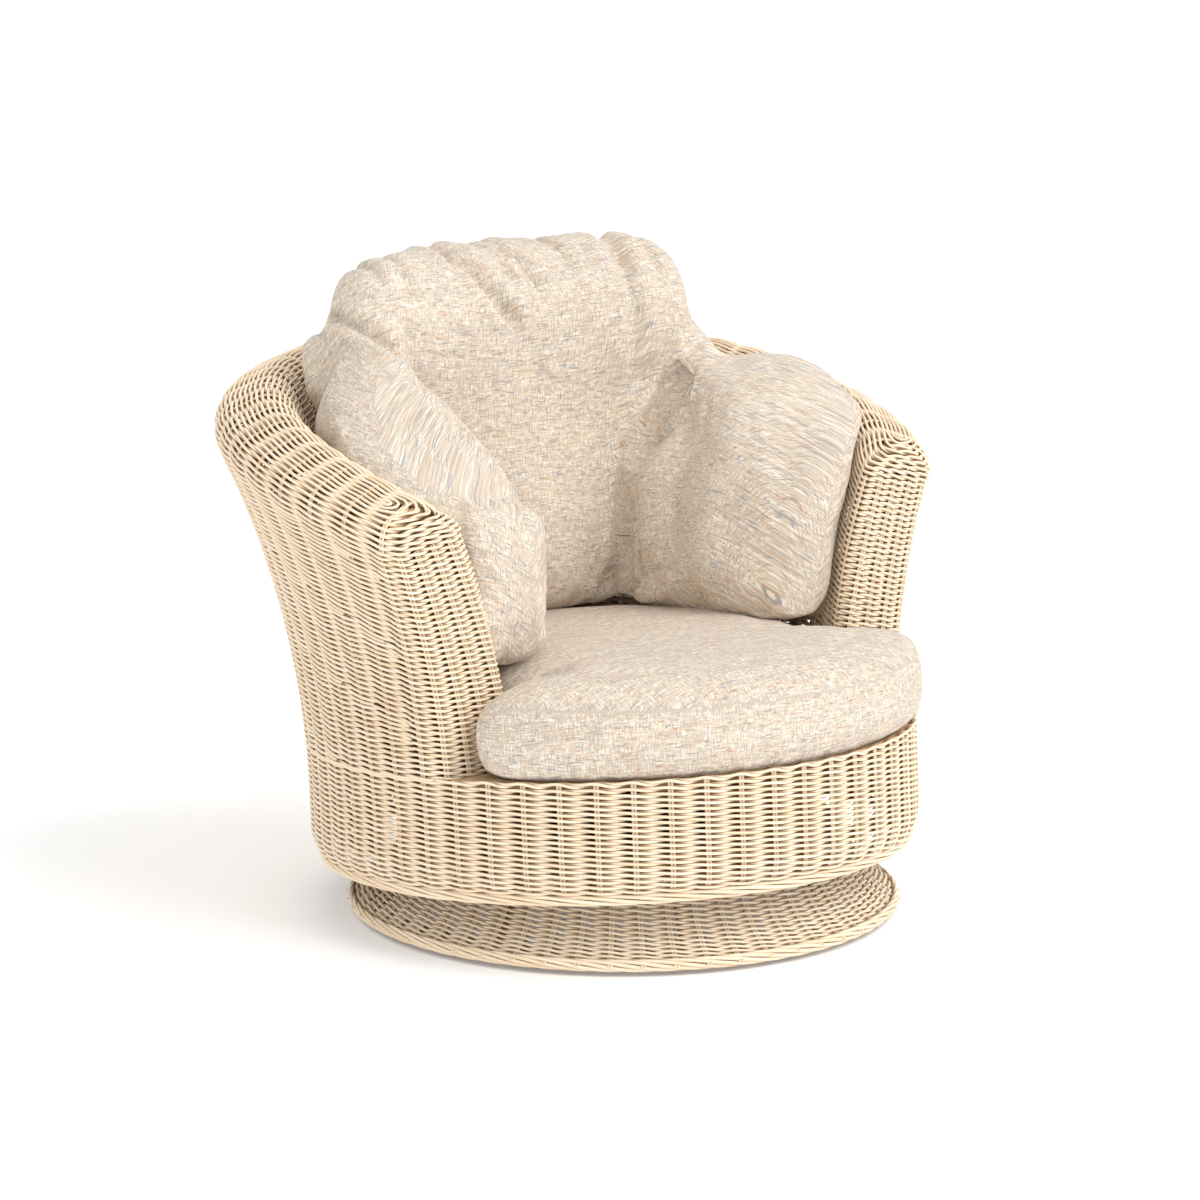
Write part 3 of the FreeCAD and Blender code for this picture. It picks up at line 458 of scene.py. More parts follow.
def strand_tree():
    """Turns lines into strands that swing out and in, and up and down, along each line."""
    tree = bpy.data.node_groups.new("twined strands", "GeometryNodeTree")
    for name, kind, usual in STRAND_INPUTS:
        item = tree.interface.new_socket(name=name, in_out="INPUT", socket_type="NodeSocket" + kind)
        if usual is not None:
            item.default_value = usual
    tree.interface.new_socket(name="Geometry", in_out="OUTPUT", socket_type="NodeSocketGeometry")
    source = tree.nodes.new("NodeGroupInput")
    target = tree.nodes.new("NodeGroupOutput")
    graph = Graph(tree)
    given = {socket.name: Link(graph, socket) for socket in source.outputs if socket.name}

    def named(name, kind):
        return graph.add("GeometryNodeInputNamedAttribute", {"data_type": kind}, name)

    def store(geometry, name, kind, value):
        return graph.add("GeometryNodeStoreNamedAttribute", {"data_type": kind, "domain": "POINT"},
                         geometry, Name=name, Value=value)

    curves = graph.add("GeometryNodeMeshToCurve", {}, given["Geometry"])
    copies = graph.add("GeometryNodeDuplicateElements", {"domain": "SPLINE"}, curves,
                       Amount=given["Strands"])
    index = copies.other(1)
    along, row = named("along", "FLOAT"), named("row", "FLOAT")
    out, rise = named("out", "FLOAT_VECTOR"), named("rise", "FLOAT_VECTOR")
    place = graph.add("GeometryNodeInputPosition", {})
    strand = row + index * 0.37
    kept = store(copies, "strand", "FLOAT", strand)
    kept = store(kept, "middle", "FLOAT_VECTOR", place)
    turn = along * math.pi + index * 2.0 * math.pi / given["Strands"]
    wander = graph.add("ShaderNodeTexNoise", {"noise_dimensions": "3D"}, Scale=1.0, Detail=1.0,
                       Vector=graph.combine(along * 1.6, strand * 11.7), out=1)
    push = graph.vector("SUBTRACT", wander, (0.5, 0.5, 0.5))
    swing = graph.vector("SCALE", out, Scale=turn.math("COSINE") * given["Swing"])
    lift = graph.vector("SCALE", rise, Scale=turn.math("SINE") * given["Lift"])
    stray = graph.vector("SCALE", push, Scale=given["Unevenness"] * 2.0)
    offset = graph.vector("ADD", graph.vector("ADD", swing, lift), stray)
    moved = graph.add("GeometryNodeSetPosition", {}, kept, Offset=offset)
    circle = graph.add("GeometryNodeCurvePrimitiveCircle", {"mode": "RADIUS"},
                       Resolution=given["Sides"], Radius=given["Strand Radius"])
    tube = graph.add("GeometryNodeCurveToMesh", {}, moved, circle, Fill_Caps=True)
    # How far a point lies ahead of or behind the row's middle. The cane finish turns this into painted
    # shade, darker deeper in the weave, and Brighten lifts a piece out of that painted shade.
    reach = graph.vector("DOT_PRODUCT", graph.vector("SUBTRACT", place, named("middle", "FLOAT_VECTOR")),
                         out, out=1)
    depth = reach / (given["Swing"] + given["Strand Radius"]) + given["Brighten"]
    deep = store(tube, "depth", "FLOAT", depth)
    smooth = graph.add("GeometryNodeSetShadeSmooth", {}, deep)
    real = graph.add("GeometryNodeRealizeInstances", {}, smooth)
    done = graph.add("GeometryNodeSetMaterial", {}, real, Material=given["Cane"])
    tree.links.new(done.socket, target.inputs[0])
    return tree


twining = strand_tree()


def row_guides(name, rows):
    """A mesh of lines, one for each row, that carries what the strand tree reads."""
    places, edges = [], []
    carried = {"out": [], "rise": [], "along": [], "row": []}
    count = 0
    for number, (points, up, along, closed) in enumerate(rows):
        ahead = np.roll(points, -1, axis=0) - np.roll(points, 1, axis=0)
        if not closed:
            ahead[0] = points[1] - points[0]
            ahead[-1] = points[-1] - points[-2]
        ahead = ahead / np.linalg.norm(ahead, axis=1)[:, None]
        up = up - ahead * np.sum(up * ahead, axis=1)[:, None]
        up = up / np.linalg.norm(up, axis=1)[:, None]
        size = len(points)
        places.append(points)
        carried["out"].append(np.cross(up, ahead))
        carried["rise"].append(up)
        carried["along"].append(along)
        carried["row"].append(np.full(size, float(number)))
        edges += [(count + i, count + i + 1) for i in range(size - 1)]
        if closed:
            edges.append((count + size - 1, count))
        count += size
    mesh = bpy.data.meshes.new(name)
    mesh.from_pydata(np.concatenate(places), edges, [])
    for key, parts in carried.items():
        flat = np.concatenate(parts).astype(np.float32)
        wide = flat.ndim == 2
        attribute = mesh.attributes.new(key, "FLOAT_VECTOR" if wide else "FLOAT", "POINT")
        attribute.data.foreach_set("vector" if wide else "value", flat.ravel())
    return mesh


def woven(name, rows, body, replaces, **sizes):
    """Runs the strand tree on a set of rows and leaves one plain mesh of strands."""
    guide = placed(name + "_guide", row_guides(name + "_guide", rows))
    modifier = guide.modifiers.new("strands", "NODES")
    modifier.node_group = twining
    wanted = {"Cane": cane_material, **{key.replace("_", " "): value for key, value in sizes.items()}}
    for item in twining.interface.items_tree:
        if item.in_out == "INPUT" and item.name in wanted:
            modifier[item.identifier] = wanted[item.name]
    evaluated = guide.evaluated_get(bpy.context.evaluated_depsgraph_get())
    mesh = bpy.data.meshes.new_from_object(evaluated)
    mesh.name = name
    for spare in ("out", "rise", "middle", "row"):
        if spare in mesh.attributes:
            mesh.attributes.remove(mesh.attributes[spare])
    guide_mesh = guide.data
    bpy.data.objects.remove(guide)
    bpy.data.meshes.remove(guide_mesh)
    piece = placed(name, mesh)
    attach(piece, body)
    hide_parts(*replaces)
    print(name, "rows", len(rows), "triangles", triangles(mesh))


# %% [markdown]
# The wall is taller at the back than at the arms, so a weaver packs in short rows there that
# turn back before the arms. Each short row ends at the angle where the wall has become too low
# for it, and near its end it thins out so that its neighbours close up smoothly.

# %% Rows of the tub's wall
FULL_ROWS = 40
SHORT_ROWS = 20
SHORT_FADE = 16.0            # degrees over which a short row gives way
SHORT_CUT = 0.3              # share of a full row's room at which its strands are cut
SHORT_STRIDE = 7             # strides in which short rows are laid in, which scatters their ends
SHORT_FIRST = 3
LEAST_PLACES = 4             # places of the grid that the shortest stretch of a row covers
ARM_START = 15.75            # stakes at which the arm front's piece begins and ends
ARM_END = 20.75


def smooth(share, size=1.0):
    """Rises gently from 0 to size as the share goes from 0 to 1."""
    return size * share * share * (3 - 2 * share)


def wall_height(angle):
    """Length up the middle of the wall, from the deck to the roll."""
    bend, turn = flare_arc(angle)
    return bend * turn * (1.0 - deck_share(angle))


search = np.linspace(0.0, ARM_ANGLE, 400)
room = wall_height(search)
pitch = room[-1] / FULL_ROWS
back_pitch = room[0] / (FULL_ROWS + SHORT_ROWS)
rows_there = room / (back_pitch + (pitch - back_pitch) * (search / ARM_ANGLE))
short_ends = [min(float(np.interp(-(FULL_ROWS + j + 0.5), -rows_there, search)), ARM_ANGLE - SHORT_FADE / 2)
              for j in range(SHORT_ROWS)]
stack = [(i + 0.5, None) for i in range(FULL_ROWS)]
stack += [(((j * SHORT_STRIDE + SHORT_FIRST) % SHORT_ROWS) * FULL_ROWS / SHORT_ROWS + 1.0, short_ends[j])
          for j in range(SHORT_ROWS)]
stack.sort(key=lambda item: item[0])


def row_weights(angle):
    """How much room each row of the stack takes at each angle."""
    weights = []
    for _, end in stack:
        if end is None:
            weights.append(np.ones_like(angle))
        else:
            weights.append(smooth(np.clip((end - np.abs(angle)) / SHORT_FADE + 0.5, 0.0, 1.0)))
    return np.array(weights)


loop_weights = row_weights(loop_angle(loop_stakes))
on_front = loop_angle(loop_stakes) > ARM_START * STEP
loop_weights[:, on_front] = row_weights(np.array([ARM_ANGLE]))
heights = (np.cumsum(loop_weights, axis=0) - loop_weights / 2) / loop_weights.sum(axis=0)


def spans(stakes, low, high):
    """The columns of the grid between two places on the loop, ends included."""
    return np.nonzero((stakes >= low - 1e-6) & (stakes <= high + 1e-6))[0]


def rows_between(low, high, every=1):
    """The stack's rows on one stretch of the loop, whole or cut where a short row ends."""
    found = []
    for i, (_, end) in enumerate(stack):
        columns = spans(loop_stakes, low, high)[::every]
        if end is not None:
            columns = columns[loop_weights[i, columns] > SHORT_CUT]
        breaks = np.nonzero(np.diff(columns) > every)[0] + 1
        for part in np.split(columns, breaks):
            if len(part) >= LEAST_PLACES:
                points, up = on_grid(heights[i, part], part)
                found.append((seated(points), up, loop_stakes[part], False))
    return found


TWINE = {"Strand_Radius": 0.00195, "Swing": 0.0030, "Lift": 0.00165}
woven("outer_wall_weave_right", rows_between(LOOP_STAKES - ARM_START, LOOP_STAKES), "seat",
      ["outer_wall_weave"], **TWINE)
woven("outer_wall_weave_left", rows_between(0.0, ARM_START), "seat", ["outer_wall_weave"], **TWINE)
woven("arm_front_weave_left_strands", rows_between(ARM_START, ARM_END), "seat",
      ["arm_front_weave_left"], **TWINE)
woven("arm_front_weave_right_strands", rows_between(LOOP_STAKES - ARM_END, LOOP_STAKES - ARM_START),
      "seat", ["arm_front_weave_right"], **TWINE)
woven("inner_wall_weave_strands", rows_between(ARM_END, LOOP_STAKES - ARM_END, 2), "seat",
      ["inner_wall_weave"], **{**TWINE, "Sides": 5})

# %% [markdown]
# Below the deck the rows are plain rings. They run behind the apron and the low wall at one
# height, draw in a little at the rim, and arch over the stakes along the apron's top edge.

# %% Rows under the deck and on the apron
LOW_ROWS = 20
LOW_START = 0.0965           # first row above the rim's plait
LOW_END = 0.2305
APRON_BLEND = 6.0            # degrees over which the wall's flare gives way to the apron
SCALLOP = 0.0034
SCALLOP_ROWS = 1.4
APRON_AT = 16.75             # stakes from the back at which the apron begins
UP_STEP = 0.002              # a point this far up shows which way is up along the weave


def low_radius(angle, z):
    """Middle of the weave below the deck."""
    bend = flare_arc(angle)[0]
    rise = np.maximum(z - FLARE_Z, 0.0)
    flared = bend - np.sqrt((bend + WEAVE_DEPTH) ** 2 - rise ** 2)
    front = np.clip((np.abs(angle) - ARM_ANGLE) / APRON_BLEND + 0.5, 0.0, 1.0)
    tuck_bend = (RIM_TUCK_H ** 2 + RIM_TUCK ** 2) / (2 * RIM_TUCK)
    drop = np.maximum(RIM_Z + RIM_TUCK_H - z, 0.0)
    tuck = tuck_bend - np.sqrt(tuck_bend ** 2 - drop ** 2)
    return BODY_R + flared * (1 - front) - WEAVE_DEPTH * front - tuck


def ring_row(z, low, high, radius, scallop=0.0):
    stakes = np.arange(round(low * SAMPLES), round(high * SAMPLES) + 1) / SAMPLES
    closed = high - low >= STAKES
    if closed:
        stakes = stakes[:-1]
    angle = (stakes * STEP + 180.0) % 360.0 - 180.0
    apron = np.clip((np.abs(angle) - APRON_AT * STEP) / STEP, 0.0, 1.0)
    height = z + scallop * apron * np.cos(np.pi * stakes) ** 2
    points = polar(radius(angle, height), angle, height)
    above = height + UP_STEP
    up = polar(radius(angle, above), angle, above) - points
    return points, up, stakes, closed


def low_rows(low, high):
    found = []
    for k in range(LOW_ROWS):
        z = LOW_START + (LOW_END - LOW_START) * k / (LOW_ROWS - 1)
        arch = SCALLOP * math.exp(-(LOW_ROWS - 1 - k) / SCALLOP_ROWS)
        points, up, stakes, closed = ring_row(z, low, high, low_radius, arch)
        found.append((seated(points), up, stakes, closed))
    return found


woven("outer_wall_weave_low", low_rows(-APRON_AT, APRON_AT), "seat", ["outer_wall_weave"], **TWINE)
woven("apron_weave_strands", low_rows(APRON_AT, STAKES - APRON_AT), "seat", ["apron_weave"], **TWINE)

# %% [markdown]
# The rows of the rolled top are nested loops, like the lanes of a running track. Each goes along
# the outside, round the arm's end and back along the inside. The arm's end is rounded, so every
# loop turns a little further behind the front than the one below it.

# %% Rows of the rolled top
TOP_ROWS = 10
END_START = 0.012            # height over the wall at which the arm's end begins to round
END_BEND = ROLL_BEND - END_START
TOP_BENDS = (0.016, 0.012)
END_STAKE_ROOM = 0.022       # least length of an arm's end for each stake on it
END_EASE = 0.42              # most of an arm's end that one eased corner may take
RUN_STEP = 0.001             # a loop this far over the roll shows which way is up along it


def end_recess(run):
    """How far behind the arm front a loop turns."""
    lift = ROLL_BEND * math.sin(min(run, ROLL_QUARTER) / ROLL_BEND)
    bend = min(max(lift - END_START, 0.0) / END_BEND, 1.0)
    return END_BEND * (1.0 - math.sqrt(1.0 - bend ** 2)) + max(run - ROLL_QUARTER, 0.0)


def top_row(run):
    def curve(angle, inner):
        return over_point(angle, run, inner)

    recess = end_recess(run)
    ends = [front_angle(curve, inner, recess) for inner in (False, True)]
    across = np.linalg.norm(curve(ends[0], False) - curve(ends[1], True))
    stakes = sum(ends) / STEP + max(1.0, across / END_STAKE_ROOM)
    half_stakes = min(LOOP_STAKES // 2, int(stakes))
    bends = [min(bend, END_EASE * across) for bend in TOP_BENDS]
    points = whole_loop(half_loop(curve, recess, bends, half_stakes))
    beside = whole_loop(half_loop(lambda a, inner: over_point(a, run + RUN_STEP, inner),
                                  end_recess(run + RUN_STEP), bends, half_stakes))
    return seated(points[:-1]), (beside - points)[:-1], np.arange(len(points) - 1) / SAMPLES, True


top_rows = [top_row(ROLL_RUN / 2 * (k + 0.5) / TOP_ROWS) for k in range(TOP_ROWS)]
woven("top_roll_weave_strands", top_rows, "seat", ["top_roll_weave"], **TWINE)

# %% [markdown]
# The base is a ring of the same twining on a hollow, flared skirt, so its profile is an arc
# through three points: foot, waist and head.

# %% Rows of the base
BASE_R = 0.360
BASE_TOP_R = 0.288
BASE_TOP_Z = 0.106
GLIDE_H = 0.006
BORDER_H = 0.017
BORDER_D = 0.013
SKIRT_FOOT = 0.6
SKIRT_DROP = 0.002
SKIRT_WAIST_IN = 0.62
SKIRT_WAIST_UP = 0.45
SKIRT_ROWS = 15
SKIRT_START = 0.0215         # first row above the plaited border
SKIRT_OUT = 0.0085           # the cane at the foot stands out almost as far as the border
SKIRT_LIFT = 0.004

foot = np.array((BASE_R - BORDER_D, GLIDE_H + BORDER_H * SKIRT_FOOT))
head = np.array((BASE_TOP_R, BASE_TOP_Z - SKIRT_DROP))
waist = foot + (head - foot) * np.array((SKIRT_WAIST_IN, SKIRT_WAIST_UP))
foot = foot + np.array((SKIRT_OUT, SKIRT_LIFT))


def circle_through(p, q, s):
    """Centre and radius of the circle through three points."""
    rows = 2 * np.array((q - p, s - p))
    centre = np.linalg.solve(rows, np.array((q @ q - p @ p, s @ s - p @ p)))
    return centre, np.linalg.norm(centre - p)


skirt_centre, skirt_bend = circle_through(foot, waist, head)


def skirt_radius(_, z):
    """Middle of the skirt's weave, which is the same at every angle."""
    across = np.sqrt(np.maximum((skirt_bend + WEAVE_DEPTH) ** 2 - (z - skirt_centre[1]) ** 2, 0.0))
    return skirt_centre[0] - across


skirt_z = np.linspace(SKIRT_START, head[1] - 0.001, 200)
skirt_line = np.stack((skirt_radius(0.0, skirt_z), skirt_z), axis=1)
skirt_run = lengths(skirt_line)
row_z = np.interp(np.linspace(0.0, skirt_run[-1], SKIRT_ROWS), skirt_run, skirt_z)
skirt_rows = [ring_row(z, 0.0, STAKES, skirt_radius) for z in row_z]
print("skirt rows are", round(skirt_run[-1] / (SKIRT_ROWS - 1) * 1000, 1), "mm apart")
woven("base_skirt_weave_strands", skirt_rows, "base", ["base_skirt_weave"], **TWINE)

# %% [markdown]
# Both lower edges are finished with a plait: several strands that spiral round each other with a
# very long lay, so that only shallow diagonals show. That is the strand tree again, with more
# strands on a ring, turned through a small number of turns in all.

# %% Plaited borders
RIM_LAY = 5.6                # stakes that one full turn of the plait takes
RIM_PLAIT_Z = 0.0855
RIM_PLAIT_IN = 0.014


def plait(z, r, lay, tilt=0.0):
    stakes = np.arange(0, STAKES * 4) / 4
    angle = stakes * STEP
    turns = round(STAKES / lay)
    points = polar(np.full(len(angle), r), angle, np.full(len(angle), z))
    up = polar(np.full(len(angle), tilt), angle, np.ones(len(angle)))
    return points, up, stakes * 2.0 * turns / STAKES, True


rim_ring = plait(RIM_PLAIT_Z, BODY_R - RIM_PLAIT_IN, RIM_LAY, 0.3)
woven("rim_braid_strands", [(seated(rim_ring[0]), *rim_ring[1:])], "seat", ["rim_braid"],
      Strands=5, Strand_Radius=0.0025, Swing=0.0031, Lift=0.0053)
woven("base_border_strands", [plait(GLIDE_H + BORDER_H / 2, BASE_R - BORDER_D / 2, RIM_LAY)], "base",
      ["base_border_braid"], Strands=6, Strand_Radius=0.0025, Swing=0.0036, Lift=0.0058)

# %% [markdown]
# The strands pass round pairs of thin upright canes, the stakes. A pair shows through every slit
# of the weave, so each pair is made too: it rises from the rim, follows the wall, and on the
# walls it goes over the roll and down the inside. The strand tree lays the two canes side by
# side when it reads a fixed quarter of a turn.

# %% Stakes
STAKE_RADIUS = 0.0017
STAKE_APART = 0.0019         # from the pair's middle to each cane
OUTER_STAKES = 16            # pairs on each side of the back one that pass over the roll
FRONT_STAKES = 20            # pairs from the back to the last one on an arm's front
SIDE_LEVEL = 10              # loop of the grid on which a pair's sideways direction is read
LOW_POINTS = 10              # points along a stake: below the deck, up the wall, over the roll,
WALL_POINTS = 22             # down the inside, and on the skirt
ROLL_POINTS = 20
INSIDE_STAKE_POINTS = 20
SKIRT_POINTS = 16
ROLL_END = 0.006             # stakes stop this far before either end of the roll
WALL_FOOT = 0.04             # level at which a stake leaves the low wall for the flared one


def stake_row(points, sideways):
    """A line for the strand tree, with its two canes on either side of it."""
    return points, np.tile(sideways, (len(points), 1)), np.full(len(points), 0.5), False


def around(angle):
    """The level direction along the wall."""
    return np.array((math.cos(math.radians(angle)), -math.sin(math.radians(angle)), 0.0))


def level_columns(column, levels):
    """One column of the tub's grid at a set of levels."""
    place = levels * (LEVELS - 1)
    return np.stack([np.interp(place, np.arange(LEVELS), tub_grid[:, column, i]) for i in range(3)], axis=1)


low_z = np.linspace(RIM_Z, DECK_Z, LOW_POINTS)
wall_levels = np.linspace(WALL_FOOT, 1.0, WALL_POINTS)
over_runs = np.linspace(ROLL_END, ROLL_RUN - ROLL_END, ROLL_POINTS)
tall_stakes, low_stakes, front_stakes, inner_stakes = [], [], [], []
for k in range(STAKES):
    angle = (k * STEP + 180.0) % 360.0 - 180.0
    line = polar(low_radius(np.full(LOW_POINTS, angle), low_z), angle, low_z)
    tall = abs(angle) < (OUTER_STAKES + 0.5) * STEP
    if tall:
        column = (k if angle >= 0 else LOOP_STAKES - STAKES + k) * SAMPLES
        r, z = roll_point(angle, over_runs)
        line = np.concatenate((line, level_columns(column, wall_levels), polar(r, angle, z)))
    (tall_stakes if tall else low_stakes).append(stake_row(seated(line), around(angle)))
for k in range(OUTER_STAKES + 1, LOOP_STAKES - OUTER_STAKES):
    line = level_columns(k * SAMPLES, np.linspace(0.0, 1.0, INSIDE_STAKE_POINTS))
    beside = tub_grid[SIDE_LEVEL, k * SAMPLES + 1] - tub_grid[SIDE_LEVEL, k * SAMPLES - 1]
    on_arm = k <= FRONT_STAKES or k >= LOOP_STAKES - FRONT_STAKES
    (front_stakes if on_arm else inner_stakes).append(stake_row(seated(line), beside))
stake_z = np.linspace(GLIDE_H + BORDER_H / 2, head[1], SKIRT_POINTS)
skirt_stakes = [stake_row(polar(skirt_radius(k * STEP, stake_z), k * STEP, stake_z), around(k * STEP))
                for k in range(STAKES)]

# Brighten lifts the stakes out of most of the weave's painted shade, so they show pale in the slits.
STAKE = {"Strand_Radius": STAKE_RADIUS, "Lift": STAKE_APART, "Swing": 0.0030, "Unevenness": 0.0001,
         "Brighten": 0.45}
woven("wall_stakes", tall_stakes, "seat", ["outer_wall_weave"], **STAKE)
woven("apron_stakes", low_stakes, "seat", ["apron_weave"], **STAKE)
woven("arm_front_stakes", front_stakes, "seat", ["arm_front_weave_left"], **STAKE)
woven("inner_wall_stakes", inner_stakes, "seat", ["inner_wall_weave"], **{**STAKE, "Sides": 5})
woven("base_skirt_stakes", skirt_stakes, "base", ["base_skirt_weave"], **STAKE)

# %% [markdown]
# The cushions wear a slubby tweed. Its look comes from many short, thick bits of yarn: pale
# ones, rust ones and grey-blue ones, lying both along and across. Noise stretched along one
# direction makes such bits, and cutting it at a level keeps only the strongest.

# %% Tweed finish
TWEED_BASE = (0.72, 0.615, 0.485)
TWEED_WARM = (0.80, 0.68, 0.51)
TWEED_WHITE = (0.92, 0.86, 0.77)
TWEED_RUST = (0.52, 0.24, 0.13)
TWEED_GREY = (0.33, 0.335, 0.345)
TWEED_ROSE = (0.60, 0.49, 0.37)
SLUB_LONG = 0.013
SLUB_THICK = 0.0018
YARN = 0.0019
# Each kind of slub: its seed, tint, the noise it starts and is full at, and its strength.
SLUBS = ((1.5, TWEED_WHITE, 0.51, 0.63, 0.85), (4.5, TWEED_ROSE, 0.50, 0.62, 0.9),
         (7.5, TWEED_GREY, 0.57, 0.66, 0.85), (10.5, TWEED_RUST, 0.625, 0.70, 0.85))


def tweed_nodes(graph):
    cloth = graph.attribute("cloth", 1)
    spot = graph.add("ShaderNodeSeparateXYZ", {}, cloth)
    u = spot
    v, seed = spot.other(1), spot.other(2)

    def slubs(along, across, which, low, high):
        where = graph.combine(along / SLUB_LONG, across / SLUB_THICK, seed * 13.0 + which)
        return graph.noise(where, 1.0, 2.0, 0.55).ramp(low, high)

    tone = graph.noise(graph.combine(u * 22.0, v * 22.0, seed + 3.0), 1.0, 3.0)
    colour = graph.mix(tone.ramp(0.35, 0.65), TWEED_ROSE, TWEED_WARM)
    colour = graph.mix(0.55, colour, TWEED_BASE)
    for which, tint, low, high, amount in SLUBS:
        colour = graph.mix(slubs(u, v, which, low, high) * amount, colour, tint)
        colour = graph.mix(slubs(v, u, which + 1.5, low, high) * amount, colour, tint)
    weft = (u * (2 * math.pi / YARN)).math("SINE")
    warp = (v * (2 * math.pi / YARN)).math("SINE")
    thread = weft * warp * 0.5 + 0.5
    colour = graph.mix(thread.ramp(0.0, 1.0) * 0.12, colour, TWEED_GREY)
    height = slubs(u, v, 1.5, 0.45, 0.7) * 0.5 + slubs(v, u, 3.0, 0.45, 0.7) * 0.5 + thread * 0.4
    bump = graph.add("ShaderNodeBump", {}, Strength=0.5, Distance=0.0009, Height=height)
    return {"Base_Color": colour, "Normal": bump}


tweed_material = finish_material("slubby_tweed", tweed_nodes, Roughness=0.95, Specular_IOR_Level=0.15,
                                 Sheen_Weight=0.15, Sheen_Roughness=0.5)

# %% [markdown]
# A cushion starts as its CAD solid. The solid is remeshed in small even cells, drawn in slightly,
# and blown up as cloth under pressure, so that the filling rounds it between its seams. Seams
# and folds are pressed in afterwards, because the remesh would lose them.

# %% Cushion tools
PRESSURE = 4.0
FRAMES = 12
DRAW_STEPS = 4               # a cushion is drawn in by steps, and smoothed after each
LIP = 0.35                   # beside a fold the cloth swells by this share of the fold's depth,
LIP_AT = 2.6                 # this many widths away from it and over this many widths
LIP_WIDTH = 1.3


def read_points(mesh, field="co"):
    flat = np.empty(len(mesh.vertices) * 3, dtype=np.float32)
    mesh.vertices.foreach_get(field, flat)
    return flat.reshape(-1, 3).astype(float)


def write_points(mesh, points):
    mesh.vertices.foreach_set("co", points.astype(np.float32).ravel())
    mesh.update()


def read_normals(mesh):
    return read_points(mesh, "normal")


def upright(points):
    """Undoes the body's setback and lean."""
    c, s = math.cos(REST_LEAN), math.sin(REST_LEAN)
    y, z = points[..., 1], points[..., 2] - PIVOT_Z
    return np.stack((points[..., 0], y * c + z * s - BODY_SETBACK, PIVOT_Z - y * s + z * c), axis=-1)


def settle(piece, kind, **settings):
    """Adds a modifier, keeps its result as the mesh, and takes the modifier away."""
    modifier = piece.modifiers.new(kind.lower(), kind)
    for key, value in settings.items():
        setattr(modifier, key, value)
    evaluated = piece.evaluated_get(bpy.context.evaluated_depsgraph_get())
    mesh = bpy.data.meshes.new_from_object(evaluated)
    piece.modifiers.clear()
    old = piece.data
    piece.data = mesh
    bpy.data.meshes.remove(old)


def cushion_copy(name, sources, voxel, grow, draw_in, balls=(), shapes=None):
    """One even mesh round one or more CAD cushions, each grown first and all drawn in after.

    Balls of filling, each a middle and a radius, can close the space between two cushions, and
    a cushion can be pressed into shape before it is joined."""
    whole = bmesh.new()
    for node in sources:
        shape = bmesh.new()
        shape.from_mesh(nodes[node].data)
        bmesh.ops.remove_doubles(shape, verts=shape.verts, dist=1e-5)
        bmesh.ops.recalc_face_normals(shape, faces=shape.faces)
        part = placed(node + "_part", bpy.data.meshes.new(node + "_part"))
        shape.to_mesh(part.data)
        shape.free()
        settle(part, "REMESH", mode="VOXEL", voxel_size=voxel)
        if shapes and node in shapes:
            write_points(part.data, shapes[node](read_points(part.data)))
        write_points(part.data, read_points(part.data) + read_normals(part.data) * grow)
        whole.from_mesh(part.data)
        mesh = part.data
        bpy.data.objects.remove(part)
        bpy.data.meshes.remove(mesh)
    for middle, radius in balls:
        bmesh.ops.create_icosphere(whole, subdivisions=2, radius=radius + grow,
                                   matrix=Matrix.Translation(Vector(middle)))
    piece = placed(name, bpy.data.meshes.new(name))
    whole.to_mesh(piece.data)
    whole.free()
    settle(piece, "REMESH", mode="VOXEL", voxel_size=voxel)
    settle(piece, "SMOOTH", factor=0.5, iterations=6)
    for _ in range(DRAW_STEPS):
        write_points(piece.data, read_points(piece.data) - read_normals(piece.data) * draw_in / DRAW_STEPS)
        settle(piece, "SMOOTH", factor=0.5, iterations=2)
    return piece


def stuffed(piece, cap):
    """Cloth under pressure, with no point moved further than the cap."""
    start = read_points(piece.data)
    cover = piece.modifiers.new("cover", "CLOTH")
    cover.settings.quality = 4
    cover.settings.use_pressure = True
    cover.settings.uniform_pressure_force = PRESSURE
    cover.settings.effector_weights.gravity = 0.0
    cover.point_cache.frame_start = 1
    cover.point_cache.frame_end = FRAMES
    for number in range(1, FRAMES + 1):
        scene.frame_set(number)
    evaluated = piece.evaluated_get(bpy.context.evaluated_depsgraph_get())
    move = read_points(evaluated.data) - start
    piece.modifiers.clear()
    scene.frame_set(1)
    far = np.linalg.norm(move, axis=1)
    write_points(piece.data, start + move * np.minimum(1.0, cap / np.maximum(far, 1e-9))[:, None])
    print(piece.name, "moved up to", round(float(far.max()) * 1000, 1), "mm")


def line_distance(chart, line):
    """Distance of points from a bent line, and how far along it each lies, from 0 to 1."""
    line = np.array(line, dtype=float)
    steps = np.linalg.norm(np.diff(line, axis=0), axis=1)
    starts = np.concatenate(([0.0], np.cumsum(steps)))
    best = np.full(len(chart), 1e9)
    place = np.zeros(len(chart))
    for i in range(len(steps)):
        way = (line[i + 1] - line[i]) / steps[i]
        t = np.clip((chart - line[i]) @ way, 0.0, steps[i])
        away = np.linalg.norm(chart - line[i] - t[:, None] * way, axis=1)
        closer = away < best
        best = np.where(closer, away, best)
        place = np.where(closer, (starts[i] + t) / starts[-1], place)
    return best, place


def fold_depth(chart, line, depth, width, tail=0.3):
    """How far a fold presses in at each point; the cloth swells a little beside it."""
    away, place = line_distance(chart, line)
    fade = np.clip((1.0 - place) / tail, 0.0, 1.0)
    groove = np.exp(-(away / width) ** 2)
    lip = LIP * np.exp(-((away - LIP_AT * width) / (LIP_WIDTH * width)) ** 2)
    return -depth * fade * (groove - lip)


